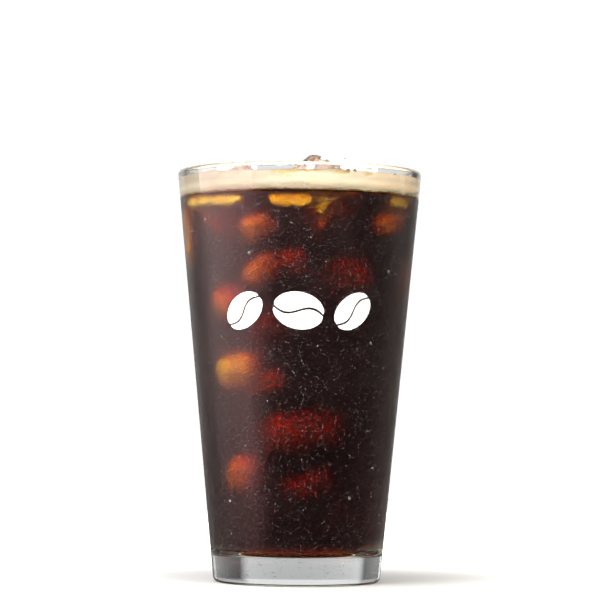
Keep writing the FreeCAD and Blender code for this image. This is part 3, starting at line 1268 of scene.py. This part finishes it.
@dataclass
class Print:
    """A row of coffee beans in white enamel, wrapped round the glass."""

    glass: MixingGlass
    height: float = 97.0 * MM
    bean_length: float = 17.0 * MM
    bean_width: float = 12.0 * MM
    spacing: float = 20.0 * MM
    slants: tuple[float, ...] = (38.0, -12.0, 38.0)
    sizes: tuple[float, ...] = (0.94, 1.08, 0.94)
    crease_gap: float = 0.75 * MM
    crease_swing: float = 1.5 * MM
    thickness: float = 0.10 * MM
    sunk: float = 0.04 * MM
    end_share: float = 0.965
    least_width: float = 0.12 * MM
    steps_along: int = 40
    steps_across: int = 8

    def build(self, shop: Workshop) -> bpy.types.Object:
        """Makes the print as one piece.

        Args:
            shop: The shared effects and shape trees.

        Returns:
            The print.
        """
        points: list[Vector] = []
        faces: list[tuple[int, ...]] = []
        middle = (len(self.slants) - 1) / 2
        for i, (slant, size) in enumerate(zip(self.slants, self.sizes)):
            for side in (-1.0, 1.0):
                shape = self._half_bean(side, (i - middle) * self.spacing, math.radians(slant), size)
                faces += [tuple(index + len(points) for index in face) for face in shape[1]]
                points += shape[0]
        piece = place_mesh("bean_print", mesh_from("bean_print", points, (), faces))
        work = bmesh.new()
        work.from_mesh(piece.data)
        bmesh.ops.recalc_face_normals(work, faces=work.faces)
        work.to_mesh(piece.data)
        work.free()
        piece.data.materials.append(EnamelFinish("white_enamel").build(shop.effects))
        return fit_out(piece)

    def _half_bean(self, side: float, shift: float, slant: float, size: float) -> Any:
        """One half of a bean, between its crease and its outline.

        Args:
            side: -1 for the half below the crease, 1 for the half above.
            shift: How far round the glass the bean's middle is.
            slant: The bean's turn, in radians.
            size: Its size, as a share of the usual bean.

        Returns:
            The points and faces of a closed thin solid.
        """
        rows: list[list[tuple[float, float]]] = []
        for step in range(self.steps_along + 1):
            along = math.sin(math.pi * (step / self.steps_along - 0.5)) * self.end_share
            width = self.bean_width / 2 * math.sqrt(1.0 - along * along)
            crease = self.crease_swing * math.sin(math.pi * along) + side * self.crease_gap / 2
            edge = side * max(width, side * crease + self.least_width)
            shares = [across / self.steps_across for across in range(self.steps_across + 1)]
            place = along * self.bean_length / 2
            rows.append([(place, crease + (edge - crease) * share) for share in shares])
        points: list[Vector] = []
        for lift in (-self.sunk, self.thickness):
            for row in rows:
                for u, v in row:
                    turned_u = (u * math.cos(slant) - v * math.sin(slant)) * size + shift
                    turned_v = (u * math.sin(slant) + v * math.cos(slant)) * size
                    points.append(self._wrap(turned_u, turned_v, lift))
        return points, self._slab_faces()

    def _slab_faces(self) -> list[tuple[int, ...]]:
        """Faces of a thin slab: its two sides and the rim that joins them.

        Returns:
            The faces, as the numbers of their points.
        """
        columns, rows = self.steps_across + 1, self.steps_along + 1
        faces: list[tuple[int, ...]] = []
        for row in range(rows - 1):
            for column in range(columns - 1):
                square = [(row, column), (row + 1, column), (row + 1, column + 1), (row, column + 1)]
                faces += [tuple(self._at(*corner, top) for corner in square) for top in (0, 1)]
        border = [(row, 0) for row in range(rows)]
        border += [(rows - 1, column) for column in range(1, columns)]
        border += [(row, columns - 1) for row in range(rows - 2, -1, -1)]
        border += [(0, column) for column in range(columns - 2, 0, -1)]
        for here, there in zip(border, border[1:] + border[:1]):
            faces.append((self._at(*here, 0), self._at(*there, 0), self._at(*there, 1), self._at(*here, 1)))
        return faces

    def _at(self, row: int, column: int, top: int) -> int:
        """The number of a slab's point: 0 is its lower side and 1 its upper."""
        return (top * (self.steps_along + 1) + row) * (self.steps_across + 1) + column

    def _wrap(self, across: float, up: float, lift: float) -> Vector:
        """A point of the flat design laid on the glass.

        Args:
            across: How far round the glass it is.
            up: How far above the print's middle it is.
            lift: How far it stands off the wall.

        Returns:
            The point.
        """
        height = self.height + up
        radius = self.glass.outer_radius(height)
        angle = math.radians(VIEWER_BEARING) + across / self.glass.outer_radius(self.height)
        return Vector(((radius + lift) * math.cos(angle), (radius + lift) * math.sin(angle), height))


# ---------------------------------------------------------------------------------------------------------
# The ice
# ---------------------------------------------------------------------------------------------------------


def block(deep: float, wide: float, tall: float) -> tuple[float, float, float]:
    """A size given in millimetres, in metres."""
    return deep * MM, wide * MM, tall * MM


@dataclass(frozen=True)
class SunkCube:
    """Where one sunk piece of ice lies, its turns, its size and its cloud's share of it.

    The film is the coffee left between it and the glass. The size is towards the glass, along it and upright.
    """

    bearing: float
    height: float
    film: float
    turns: tuple[float, float, float] = (0.0, 0.0, 0.0)
    size: tuple[float, float, float] = (21.0 * MM, 21.0 * MM, 21.0 * MM)
    cloud: float = 0.7

    def spin(self) -> Euler:
        """The cube's turn: about X and Y by its own turns, then to its bearing."""
        lean, tilt, turn = self.turns
        return Euler((math.radians(lean), math.radians(tilt), math.radians(self.bearing + turn)))


@dataclass
class IceStock:
    """All the ice: the melted cubes that break the surface, and those sunk in the coffee."""

    glass: MixingGlass
    surface_nodes: tuple[str, ...] = ("ice_front", "ice_right", "ice_back", "ice_left")
    palest: str = "ice_right"
    rounding: float = 0.36
    contact: float = 0.1 * MM
    melt: float = 1.6 * MM
    voxel: float = 0.9 * MM
    weld: float = 0.01 * MM
    softening: int = 4
    dents_per_metre: float = 95.0
    dent: float = 0.7 * MM
    ripples_per_metre: float = 320.0
    ripple: float = 0.15 * MM
    heart_share: float = 0.78
    heart_drop: float = 1.6 * MM
    heart_lumps: tuple[Span, ...] = ((0.55, 240.0), (0.3, 700.0))
    extra_cubes: int = 12
    extra_films: tuple[float, ...] = (0.8, 1.5, 3.0, 6.0, 12.0)
    extra_turn: float = 45.0
    extra_edge: Span = (17.5, 21.5)
    extra_cloud: Span = (0.45, 0.75)
    extra_clearance: float = 14 * MM
    hidden_from: float = 0.2
    touching_share: float = 0.47
    seat_steps: int = 24
    tries: int = 900
    seed: int = 5
    shown: tuple[SunkCube, ...] = (
        SunkCube(-48.0 - 90, 77.0 * MM, 0.9 * MM, (10.0, 20.0, 12.0), block(18.0, 20.0, 17.0), 0.92),
        SunkCube(-29.0 - 90, 72.5 * MM, 5.2 * MM, (20.0, 10.0, 10.0), block(14.0, 16.0, 11.0), 0.9),
        SunkCube(5.0 - 90, 55.0 * MM, 7.4 * MM, (8.0, -6.0, 12.0), block(24.0, 28.0, 19.0), 0.93),
        SunkCube(-58.0 - 90, 40.0 * MM, 3.0 * MM, (-12.0, 8.0, 20.0), block(17.0, 15.0, 18.0), 0.85),
        SunkCube(-56.0 - 90, 101.0 * MM, 2.6 * MM, (15.0, -18.0, 30.0), block(17.0, 18.0, 17.0), 0.85),
        SunkCube(-27.0 - 90, 127.5 * MM, 2.7 * MM, (20.0, 12.0, 15.0), block(15.0, 15.0, 13.0), 0.85),
        SunkCube(-26.0 - 90, 112.5 * MM, 3.0 * MM, (35.0, 12.0, 15.0), block(15.0, 17.0, 12.0), 0.85),
        SunkCube(-4.0 - 90, 115.5 * MM, 6.4 * MM, (20.0, 30.0, 10.0), block(12.0, 11.0, 11.0), 0.9),
        SunkCube(64.0 - 90, 136.6 * MM, 0.35 * MM, (0.0, -6.0, 0.0), block(5.0, 13.0, 4.6), 0.95),
        SunkCube(62.0 - 90, 129.8 * MM, 2.9 * MM, (18.0, 6.0, 0.0), block(8.0, 18.0, 10.0), 0.92),
        SunkCube(47.0 - 90, 109.0 * MM, 6.5 * MM, (20.0, 25.0, 40.0), block(20.0, 20.0, 24.0), 0.88),
        SunkCube(18.0 - 90, 37.0 * MM, 9.0 * MM, (30.0, 10.0, 25.0), block(18.0, 19.0, 13.0), 0.85),
        SunkCube(-63.0 - 90, 136.6 * MM, 0.4 * MM, (0.0, -8.0, 0.0), block(5.0, 17.0, 4.6), 0.95),
        SunkCube(-41.0 - 90, 136.2 * MM, 0.5 * MM, (3.0, -8.0, 0.0), block(5.0, 15.0, 4.4), 0.95),
        SunkCube(-5.0 - 90, 136.2 * MM, 0.85 * MM, (-3.0, -15.0, 0.0), block(2.2, 15.0, 5.4), 0.95),
        SunkCube(-90.0 - 90, 125.0 * MM, 0.9 * MM, (0.0, 5.0, 0.0), block(6.0, 14.0, 24.0), 0.9),
        SunkCube(96.0 - 90, 110.0 * MM, 2.5 * MM, (0.0, 5.0, 0.0), block(6.0, 12.0, 17.0), 0.9),
        SunkCube(-30.0 - 90, 93.0 * MM, 9.0 * MM, (20.0, 30.0, 10.0), block(18.0, 18.0, 16.0), 0.88),
    )
    surface_meshes: dict[str, bpy.types.Mesh] = field(default_factory=dict)

    def build_surface(self, shop: Workshop) -> list[bpy.types.Object]:
        """Makes the cubes that break the surface, each with its cloudy heart.

        Args:
            shop: The shared effects and shape trees.

        Returns:
            The cubes and their hearts.
        """
        # The surface ice takes a painted dark brown tint above the drink, for the coffee that it shows by
        # refraction; the palest cube goes without it.
        darkened = IceFinish("surface_ice", tint=(0.99, 0.98, 0.96), darkened=(0.25, 0.17, 0.13))
        finish = darkened.build(shop.effects)
        pale = IceFinish("pale_surface_ice").build(shop.effects)
        cloud_finish = CloudFinish("surface_ice_cloud").build(shop.effects)
        pieces = []
        for node in self.surface_nodes:
            mesh = self._melted(node, 0.0)
            mesh.materials.append(pale if node == self.palest else finish)
            pieces.append(fit_out(place_mesh(f"melted_{node}", mesh), [node]))
            cloud = self._shrunken(mesh, f"cloud_{node}")
            cloud.materials.append(cloud_finish)
            pieces.append(fit_out(place_mesh(cloud.name, cloud)))
        return pieces

    def surface_cutter(self) -> bpy.types.Object:
        """A helper that holds the surface cubes, a little shrunk, to carve the drink with.

        Returns:
            The helper.
        """
        cutter = place_mesh("surface_ice_cutter", self._melted(self.surface_nodes[0], self.contact))
        for node in self.surface_nodes[1:]:
            extra = place_mesh("extra_cutter", self._melted(node, self.contact))
            join_shells(cutter, extra)
            discard(extra)
        return cutter

    def _melted(self, node: str, inset: float) -> bpy.types.Mesh:
        """A node's cube with its edges and faces melted, moved inwards by an inset.

        Args:
            node: The part's node.
            inset: How far the faces move inwards.

        Returns:
            A mesh of its own, with no material.
        """
        if node not in self.surface_meshes:
            work = bmesh.new()
            work.from_mesh(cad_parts[node].data)
            bmesh.ops.remove_doubles(work, verts=work.verts, dist=self.weld)
            source = bpy.data.meshes.new(node + "_melted")
            work.to_mesh(source)
            work.free()
            piece = place_mesh(node + "_melting", source)
            remesh = piece.modifiers.new("even_faces", "REMESH")
            remesh.mode = "VOXEL"
            remesh.voxel_size = self.voxel
            softer = piece.modifiers.new("soften", "SMOOTH")
            softer.iterations = self.softening
            mesh = settle(piece).data
            self._ripple(mesh)
            self.surface_meshes[node] = mesh
            discard(piece)
        copy = self.surface_meshes[node].copy()
        copy.materials.clear()
        if inset:
            shifts = [vertex.normal * inset for vertex in copy.vertices]
            for vertex, shift in zip(copy.vertices, shifts):
                vertex.co -= shift
        smooth(copy)
        copy.update()
        return copy

    def _ripple(self, mesh: bpy.types.Mesh) -> None:
        """Moves a mesh's points in and out, in broad dents and small ripples.

        Args:
            mesh: The mesh.
        """
        shifts = []
        for vertex in mesh.vertices:
            broad = noise.noise(vertex.co * self.dents_per_metre)
            fine = noise.noise(vertex.co * self.ripples_per_metre)
            shifts.append(vertex.normal * (broad * self.dent + fine * self.ripple))
        for vertex, shift in zip(mesh.vertices, shifts):
            vertex.co += shift
        mesh.update()

    def _shrunken(self, mesh: bpy.types.Mesh, name: str) -> bpy.types.Mesh:
        """A ragged smaller copy of a mesh about a point just below its middle.

        Args:
            mesh: The melted cube.
            name: The heart's name.

        Returns:
            The heart's mesh.
        """
        copy = mesh.copy()
        copy.name = name
        copy.materials.clear()
        middle = sum((vertex.co for vertex in copy.vertices), Vector()) / len(copy.vertices)
        middle.z -= self.heart_drop
        for vertex in copy.vertices:
            away = (vertex.co - middle) * self.heart_share
            ragged = sum((lump * noise.noise(vertex.co * scale) for lump, scale in self.heart_lumps), 1.0)
            vertex.co = middle + away * ragged
        copy.update()
        return copy

    def lay_sunk(self) -> bpy.types.Mesh:
        """Finds a place for every sunk cube.

        Returns:
            A mesh of points, each with its cube's turn, edge and cloud size as attributes.
        """
        draw = random.Random(self.seed)
        taken = [BVHTree.FromPolygons(*polygons_of(self.surface_meshes[node])) for node in self.surface_nodes]
        laid: list[tuple[SunkCube, Vector]] = []
        for cube in self.shown:
            spot = self._seat(cube)
            taken.append(self._tree(cube, spot))
            laid.append((cube, spot))
        lowest = self.glass.floor + self.extra_clearance
        for _ in range(self.tries):
            if len(laid) == len(self.shown) + self.extra_cubes:
                break
            cube = SunkCube(
                bearing=draw.uniform(0.0, 360.0),
                height=draw.uniform(lowest, self.glass.drink_top - self.extra_clearance),
                film=draw.choice(self.extra_films) * MM,
                turns=tuple(draw.uniform(-self.extra_turn, self.extra_turn) for _ in range(3)),
                size=tuple(draw.uniform(*self.extra_edge) * MM for _ in range(3)),
                cloud=draw.uniform(*self.extra_cloud),
            )
            if math.cos(math.radians(cube.bearing - VIEWER_BEARING)) > self.hidden_from:
                continue
            spot = self._seat(cube)
            tree = self._tree(cube, spot)
            if not any(tree.overlap(other) for other in taken):
                taken.append(tree)
                laid.append((cube, spot))
        LOG.info("sunk ice: %d cubes", len(laid))
        mesh = mesh_from("sunk_ice_points", [spot for _, spot in laid])
        for name in ("lie", "size", "cloud"):
            mesh.attributes.new(name, "FLOAT_VECTOR", "POINT")
        for i, (cube, _) in enumerate(laid):
            mesh.attributes["lie"].data[i].vector = cube.spin()
            mesh.attributes["size"].data[i].vector = cube.size
            mesh.attributes["cloud"].data[i].vector = Vector(cube.size) * cube.cloud
        return mesh

    def _corners(self, cube: SunkCube) -> list[Vector]:
        """Points over a cube's rounded outside, about its middle.

        Args:
            cube: The sunk cube.

        Returns:
            The points.
        """
        flat = 0.5 - self.rounding
        spin = cube.spin().to_matrix()
        steps = (-1.0, -0.5, 0.0, 0.5, 1.0)
        found = []
        for place in itertools.product(steps, repeat=3):
            if max(map(abs, place)) < 1.0:
                continue
            raw = Vector(place) / 2
            core = Vector([min(max(c, -flat), flat) for c in raw])
            shape = core + (raw - core).normalized() * self.rounding
            found.append(spin @ (shape * Vector(cube.size)))
        return found

    def _seat(self, cube: SunkCube) -> Vector:
        """The middle of a cube pushed towards the wall until only its film of coffee is left.

        Args:
            cube: The sunk cube.

        Returns:
            The middle.
        """
        outside = self._corners(cube)
        bearing = math.radians(cube.bearing)
        low, high = 0.0, self.glass.inner_radius(cube.height)
        for _ in range(self.seat_steps):
            middle = (low + high) / 2
            spot = Vector((middle * math.cos(bearing), middle * math.sin(bearing), cube.height))
            gap = min(
                self.glass.inner_radius((spot + point).z) - math.hypot((spot + point).x, (spot + point).y)
                for point in outside
            )
            low, high = (middle, high) if gap > cube.film + self.melt / 4 else (low, middle)
        return Vector((low * math.cos(bearing), low * math.sin(bearing), cube.height))

    def _tree(self, cube: SunkCube, spot: Vector) -> BVHTree:
        """A search tree of a cube's box, for finding cubes that touch.

        Args:
            cube: The sunk cube.
            spot: The cube's middle.

        Returns:
            The tree.
        """
        spin = cube.spin().to_matrix()
        half = Vector(cube.size) * self.touching_share
        corners = [spot + spin @ (Vector(place) * half) for place in itertools.product((-1, 1), repeat=3)]
        sides = [(0, 1, 3, 2), (4, 6, 7, 5), (0, 4, 5, 1), (2, 3, 7, 6), (0, 2, 6, 4), (1, 5, 7, 3)]
        return BVHTree.FromPolygons(corners, sides)

    def build_sunk(self, shop: Workshop, points: bpy.types.Mesh) -> list[bpy.types.Object]:
        """Makes the sunk cubes and their clouds.

        Args:
            shop: The shared effects and shape trees.
            points: The sunk cubes' places, as points with attributes.

        Returns:
            The cubes, then their clouds.
        """
        finish = IceFinish("sunk_ice", reflection=BLACK).build(shop.effects)
        cloud_finish = CloudFinish("sunk_ice_cloud").build(shop.effects)
        ice = grow("sunk_ice", points.copy(), shop.trees.blocks, {**self._block_sizes(), "Material": finish})
        hearts = {
            "Size attribute": "cloud",
            "Rounding": 0.40,
            "Cuts": 12,
            "Melt": 2.6 * MM,
            "Melt scale": 170.0,
            "Material": cloud_finish,
        }
        clouds = grow("sunk_ice_clouds", points.copy(), shop.trees.blocks, hearts)
        return [fit_out(ice), fit_out(clouds)]

    def _block_sizes(self) -> dict[str, Any]:
        """The shape of a sunk cube."""
        return {"Rounding": self.rounding, "Melt": self.melt}

    def sunk_hollows(
        self, shop: Workshop, points: bpy.types.Mesh, material: bpy.types.Material
    ) -> bpy.types.Object:
        """The inward-facing walls of the hollows that sunk cubes leave in the coffee."""
        sizes = {**self._block_sizes(), "Inset": self.contact, "Inside out": True, "Material": material}
        return grow("sunk_hollows", points.copy(), shop.trees.blocks, sizes)


def polygons_of(mesh: bpy.types.Mesh) -> tuple[list[Vector], list[tuple[int, ...]]]:
    """A mesh's points and faces as plain lists."""
    return [vertex.co.copy() for vertex in mesh.vertices], [tuple(face.vertices) for face in mesh.polygons]


# ---------------------------------------------------------------------------------------------------------
# The drink
# ---------------------------------------------------------------------------------------------------------


@dataclass
class Drink:
    """The coffee and the foam on it."""

    glass: MixingGlass
    overlap: float = 0.1 * MM
    foam_top: float = 144.3 * MM
    climb_width: float = 4.0 * MM
    foam_swell: float = 0.35 * MM
    boundary_swell: float = 0.08 * MM
    swells: tuple[Span, ...] = ((1.0, 60.0), (0.5, 160.0))
    climb_steps: int = 9
    foam_rings: tuple[float, ...] = (34.0, 30.0, 25.0, 20.0, 15.0, 10.0, 5.0, 0.0)
    foam_segments: int = 240
    bubble_slope: float = 0.5

    def build_coffee(
        self, shop: Workshop, ice: IceStock, cutter: bpy.types.Object, points: bpy.types.Mesh
    ) -> bpy.types.Object:
        """Makes the coffee, which reaches just into the glass and the foam, with a hollow for each cube.

        Args:
            shop: The shared effects and shape trees.
            ice: The ice, which shapes the hollows.
            cutter: The helper with the shape of the surface cubes.
            points: The sunk cubes' places, as points with attributes.

        Returns:
            The coffee.
        """
        material = CoffeeFinish("black_coffee").build(shop.effects)
        glass = self.glass
        bottom, top = glass.floor - self.overlap, glass.drink_top + 4 * self.overlap
        corners = [
            Corner(0.0, bottom),
            Corner(glass.inner_radius(bottom) + self.overlap, bottom, glass.corner_rounding + self.overlap),
            Corner(glass.inner_radius(top) + self.overlap, top),
            Corner(0.0, top),
        ]
        coffee = shop.turn("coffee_body", corners, material)
        carve(coffee, cutter)
        hollows = ice.sunk_hollows(shop, points, material)
        join_shells(coffee, hollows)
        discard(hollows)
        smooth(coffee.data)
        return fit_out(coffee, ["coffee"])

    def build_foam(self, shop: Workshop, cutter: bpy.types.Object) -> bpy.types.Object:
        """Makes the foam, which climbs the glass a little and swells unevenly.

        Args:
            shop: The shared effects and shape trees.
            cutter: The helper with the shape of the surface cubes.

        Returns:
            The foam.
        """
        material = FoamFinish("coffee_foam", self.glass.drink_top).build(shop.effects)
        bottom, edge = self.glass.drink_top, self.glass.foam_top
        outline = [(0.0, bottom), (self.glass.inner_radius(bottom) + self.overlap, bottom)]
        for step in range(self.climb_steps + 1):
            share = 1.0 - step / self.climb_steps
            radius = self.glass.inner_radius(edge) + self.overlap - self.climb_width * (1.0 - share)
            outline.append((radius, self.foam_top + (edge - self.foam_top) * share * share))
        outline += [(radius * MM, self.foam_top) for radius in self.foam_rings]
        foam = shop.spin("coffee_foam", outline, material, self.foam_segments)
        self._swell(foam.data)
        carve(foam, cutter)
        smooth(foam.data)
        return fit_out(foam, ["foam"])

    def _swell(self, mesh: bpy.types.Mesh) -> None:
        """Lifts and lowers the foam's top, and the level where it meets the coffee.

        Args:
            mesh: The foam's mesh.
        """
        middle = (self.glass.drink_top + self.foam_top) / 2
        for vertex in mesh.vertices:
            broad = sum(share * noise.noise(vertex.co * scale) for share, scale in self.swells)
            reach = self.foam_swell if vertex.co.z > middle else self.boundary_swell
            vertex.co.z += broad * reach
        mesh.update()

    def build_bubbles(self, shop: Workshop, foam: bpy.types.Object) -> bpy.types.Object:
        """Stands small bubbles on the foam's top.

        Args:
            shop: The shared effects and shape trees.
            foam: The finished foam.

        Returns:
            The bubbles.
        """
        work = bmesh.new()
        work.from_mesh(foam.data)
        unwanted = [face for face in work.faces if face.normal.z < self.bubble_slope]
        bmesh.ops.delete(work, geom=unwanted, context="FACES")
        top = bpy.data.meshes.new("foam_top")
        work.to_mesh(top)
        work.free()
        values = {
            "Density": 4.2e5,
            "Clumping": 0.95,
            "Patches per metre": 90.0,
            "Smallest": 0.16 * MM,
            "Largest": 0.85 * MM,
            "Flatness": 0.75,
            "Sunk": 0.3,
            "Fineness": 2,
            "Seed": 3,
            "Material": BubbleFinish("foam_bubbles").build(shop.effects),
        }
        return fit_out(grow("foam_bubbles", top, shop.trees.beads, values))


# ---------------------------------------------------------------------------------------------------------
# The condensation
# ---------------------------------------------------------------------------------------------------------


@dataclass(frozen=True)
class DropKind:
    """One size of drop: how many to a square metre, their radii, their shape and how fine their mesh is."""

    name: str
    density: float
    smallest: float
    largest: float
    fineness: int
    clumping: float
    unevenness: float
    seed: int


@dataclass
class Condensation:
    """Water that has gathered on the cold outside of the glass."""

    glass: MixingGlass
    flatness: float = 0.55
    sunk: float = 0.12
    print_gap: float = 0.3 * MM
    bottom: float = 2.5 * MM
    below_drink_top: float = 1.0 * MM
    wall_segments: int = 96
    kinds: tuple[DropKind, ...] = (
        DropKind("mist_beads", 2.9e5, 0.08 * MM, 0.16 * MM, 1, 0.1, 0.0, 11),
        DropKind("fine_drops", 1.7e5, 0.10 * MM, 0.22 * MM, 1, 0.2, 0.0, 23),
        DropKind("large_drops", 3.0e3, 0.26 * MM, 0.62 * MM, 3, 0.9, 0.10 * MM, 37),
    )

    def build(self, shop: Workshop, printed: bpy.types.Object) -> list[bpy.types.Object]:
        """Scatters each kind of drop over the cold part of the wall, clear of the print.

        Args:
            shop: The shared effects and shape trees.
            printed: The print, which stays dry.

        Returns:
            A piece for each kind of drop.
        """
        water = WaterFinish("condensed_water").build(shop.effects)
        pieces = []
        for kind in self.kinds:
            values = {
                "Density": kind.density,
                "Clumping": kind.clumping,
                "Smallest": kind.smallest,
                "Largest": kind.largest,
                "Flatness": self.flatness,
                "Sunk": self.sunk,
                "Unevenness": kind.unevenness,
                "Fineness": kind.fineness,
                "Seed": kind.seed,
                "Keep clear of": printed,
                "Gap": self.print_gap,
                "Material": water,
            }
            piece = grow(kind.name, self._cold_wall(), shop.trees.beads, values)
            pieces.append(fit_out(piece))
        return pieces

    def _cold_wall(self) -> bpy.types.Mesh:
        """The stretch of the outside wall that water gathers on.

        Returns:
            A bare band with its faces outwards.
        """
        low, high, segments = self.bottom, self.glass.drink_top - self.below_drink_top, self.wall_segments
        points: list[tuple[float, float, float]] = []
        for i in range(segments):
            angle = math.tau * i / segments
            for height in (low, high):
                radius = self.glass.outer_radius(height) / math.cos(math.pi / segments) ** 0.5
                points.append((radius * math.cos(angle), radius * math.sin(angle), height))
        pairs = [(2 * i, 2 * ((i + 1) % segments)) for i in range(segments)]
        faces = [(here, there, there + 1, here + 1) for here, there in pairs]
        return mesh_from("cold_wall", points, (), faces)


# ---------------------------------------------------------------------------------------------------------
# The studio
# ---------------------------------------------------------------------------------------------------------


@dataclass(frozen=True)
class Softbox:
    """A rectangular soft light: where it is round the glass, how big, and how bright its face is."""

    name: str
    azimuth: float
    elevation: float
    distance: float
    width: float
    height: float
    radiance: float
    colour: Colour = WHITE

    def build(self, target: Vector) -> bpy.types.Object:
        """Hangs the light so that it faces the target. Azimuth 0 is the viewer's side and 90 its right.

        Args:
            target: The point that it faces.

        Returns:
            The light.
        """
        light = bpy.data.lights.new(self.name, "AREA")
        light.shape = "RECTANGLE"
        light.size, light.size_y = self.width, self.height
        light.energy = self.radiance * math.pi * self.width * self.height
        light.color = self.colour
        azimuth, elevation = math.radians(self.azimuth), math.radians(self.elevation)
        flat = math.cos(elevation)
        away = Vector((math.sin(azimuth) * flat, -math.cos(azimuth) * flat, math.sin(elevation)))
        lamp = bpy.data.objects.new(self.name, light)
        lamp.location = target + away * self.distance
        lamp.rotation_euler = (-away).to_track_quat("-Z", "Y").to_euler()
        lamp.visible_camera = False
        bpy.context.scene.collection.objects.link(lamp)
        return lamp


@dataclass
class Studio:
    """A white sweep, soft lights and the camera."""

    target: Vector = field(default_factory=lambda: Vector((0.0, 0.0, 75.0 * MM)))
    camera_distance: float = 947.0 * MM
    camera_height: float = 65.8 * MM
    camera_pitch: float = 2.2
    camera_roll: float = 0.45
    camera_yaw: float = -0.03
    lens: float = 156.0
    floor_side: float = 0.6
    floor_near: float = -0.105
    floor_far: float = 0.6
    backdrop: float = 0.82
    backdrop_foot: float = 0.36
    backdrop_left: float = -0.62
    backdrop_right: float = 0.46
    backdrop_blur: float = 0.07
    backdrop_rise: Span = (0.0, 0.09)
    behind: Span = (0.1, 0.3)
    dark_side: float = 0.03
    ceiling: float = 0.50
    ceiling_rise: Span = (0.03, 0.14)
    seen_strength: float = 1.05
    softboxes: tuple[Softbox, ...] = (
        Softbox("left_softbox", -76.0, 14.0, 0.75, 0.95, 0.9, 3.3),
        Softbox("top_softbox", -80.0, 66.0, 1.0, 1.1, 1.1, 3.0),
        Softbox("front_softbox", 4.0, 54.0, 1.25, 2.4, 0.9, 9.5, (1.0, 0.96, 0.90)),
        Softbox("left_high_softbox", -58.0, 46.0, 1.2, 0.8, 0.8, 10.0, (1.0, 0.97, 0.92)),
        Softbox("right_high_softbox", 56.0, 48.0, 1.2, 0.7, 0.7, 7.0, (1.0, 0.96, 0.90)),
        Softbox("right_strip", 112.0, 5.0, 0.8, 0.12, 0.7, 0.7),
    )

    def build(self, shop: Workshop) -> None:
        """Sets the stage.

        Args:
            shop: The shared effects and shape trees.
        """
        self._build_floor(shop)
        self._build_world()
        for softbox in self.softboxes:
            softbox.build(self.target)
        self._build_camera()
        self._set_picture()

    def _build_floor(self, shop: Workshop) -> None:
        """Lays the floor.

        Args:
            shop: The shared effects and shape trees.
        """
        side, near, far = self.floor_side, self.floor_near, self.floor_far
        corners = [(-side, near, 0.0), (side, near, 0.0), (side, far, 0.0), (-side, far, 0.0)]
        floor = place_mesh("floor", mesh_from("floor", corners, (), [(0, 1, 2, 3)]))
        floor.data.materials.append(FloorFinish("white_sweep").build(shop.effects))

    def _build_world(self) -> None:
        """Makes the surroundings: a bright backdrop behind the glass and a dim room in front of it."""
        world = bpy.data.worlds.new("studio")
        bpy.context.scene.world = world
        world.use_nodes = True
        bench = NodeBench(world.node_tree)
        background = world.node_tree.nodes["Background"]
        direction = bench.add("ShaderNodeSeparateXYZ", {0: bench.out("ShaderNodeTexCoord", key="Generated")})
        x, y, z = (direction.outputs[axis] for axis in "XYZ")
        blur = self.backdrop_blur
        rise = bench.remap(z, *self.backdrop_rise, self.backdrop_foot, self.backdrop)
        left = bench.remap(x, self.backdrop_left - blur, self.backdrop_left + blur)
        right = bench.remap(x, self.backdrop_right - blur, self.backdrop_right + blur, 1.0, 0.0)
        behind = bench.remap(y, *self.behind)
        panel = bench.math("MULTIPLY", bench.math("MULTIPLY", left, right), behind)
        ceiling = bench.remap(z, *self.ceiling_rise, self.dark_side, self.ceiling)
        lit_panel = bench.math("MULTIPLY", panel, rise)
        room = bench.math("MAXIMUM", lit_panel, bench.math("MULTIPLY", ceiling, behind))
        seen = bench.out("ShaderNodeLightPath", key="Is Camera Ray")
        strength = bench.math("MAXIMUM", room, bench.math("MULTIPLY", seen, self.seen_strength))
        bench.feed(background.inputs["Strength"], strength)
        background.inputs["Color"].default_value = opaque(WHITE)

    def _build_camera(self) -> None:
        """Puts the camera level with the middle of the glass, looking a little up."""
        data = bpy.data.cameras.new("camera")
        data.lens = self.lens
        data.sensor_width = 36.0
        data.clip_start, data.clip_end = 0.05, 50.0
        camera = bpy.data.objects.new("camera", data)
        aim = Matrix.Rotation(math.radians(self.camera_yaw), 3, "Z")
        aim = aim @ Matrix.Rotation(math.radians(90.0 + self.camera_pitch), 3, "X")
        aim = aim @ Matrix.Rotation(math.radians(self.camera_roll), 3, "Z")
        camera.location = (0.0, -self.camera_distance, self.camera_height)
        camera.rotation_euler = aim.to_euler()
        bpy.context.scene.collection.objects.link(camera)
        bpy.context.scene.camera = camera

    @staticmethod
    def _set_picture() -> None:
        """Sets how light bounces and how colours are shown."""
        scene = bpy.context.scene
        scene.view_settings.view_transform = "Standard"
        scene.cycles.max_bounces = 28
        scene.cycles.transmission_bounces = 28
        scene.cycles.diffuse_bounces = 3
        scene.cycles.glossy_bounces = 5
        scene.cycles.transparent_max_bounces = 8
        scene.cycles.caustics_reflective = False
        scene.cycles.caustics_refractive = True
        scene.cycles.blur_glossy = 0.3
        scene.cycles.sample_clamp_indirect = 30.0
        scene.cycles.use_denoising = True


def main() -> None:
    """Builds the drink from the glass inwards, then the studio."""
    logging.basicConfig(level=logging.INFO, format="%(name)s %(message)s")
    shop = Workshop()
    glass = MixingGlass()
    glass.build(shop)
    printed = Print(glass).build(shop)
    ice = IceStock(glass)
    ice.build_surface(shop)
    cutter = ice.surface_cutter()
    points = ice.lay_sunk()
    ice.build_sunk(shop, points)
    drink = Drink(glass)
    drink.build_coffee(shop, ice, cutter, points)
    foam = drink.build_foam(shop, cutter)
    discard(cutter)
    drink.build_bubbles(shop, foam)
    Condensation(glass).build(shop, printed)
    Studio().build(shop)


if __name__ == "__main__":
    main()
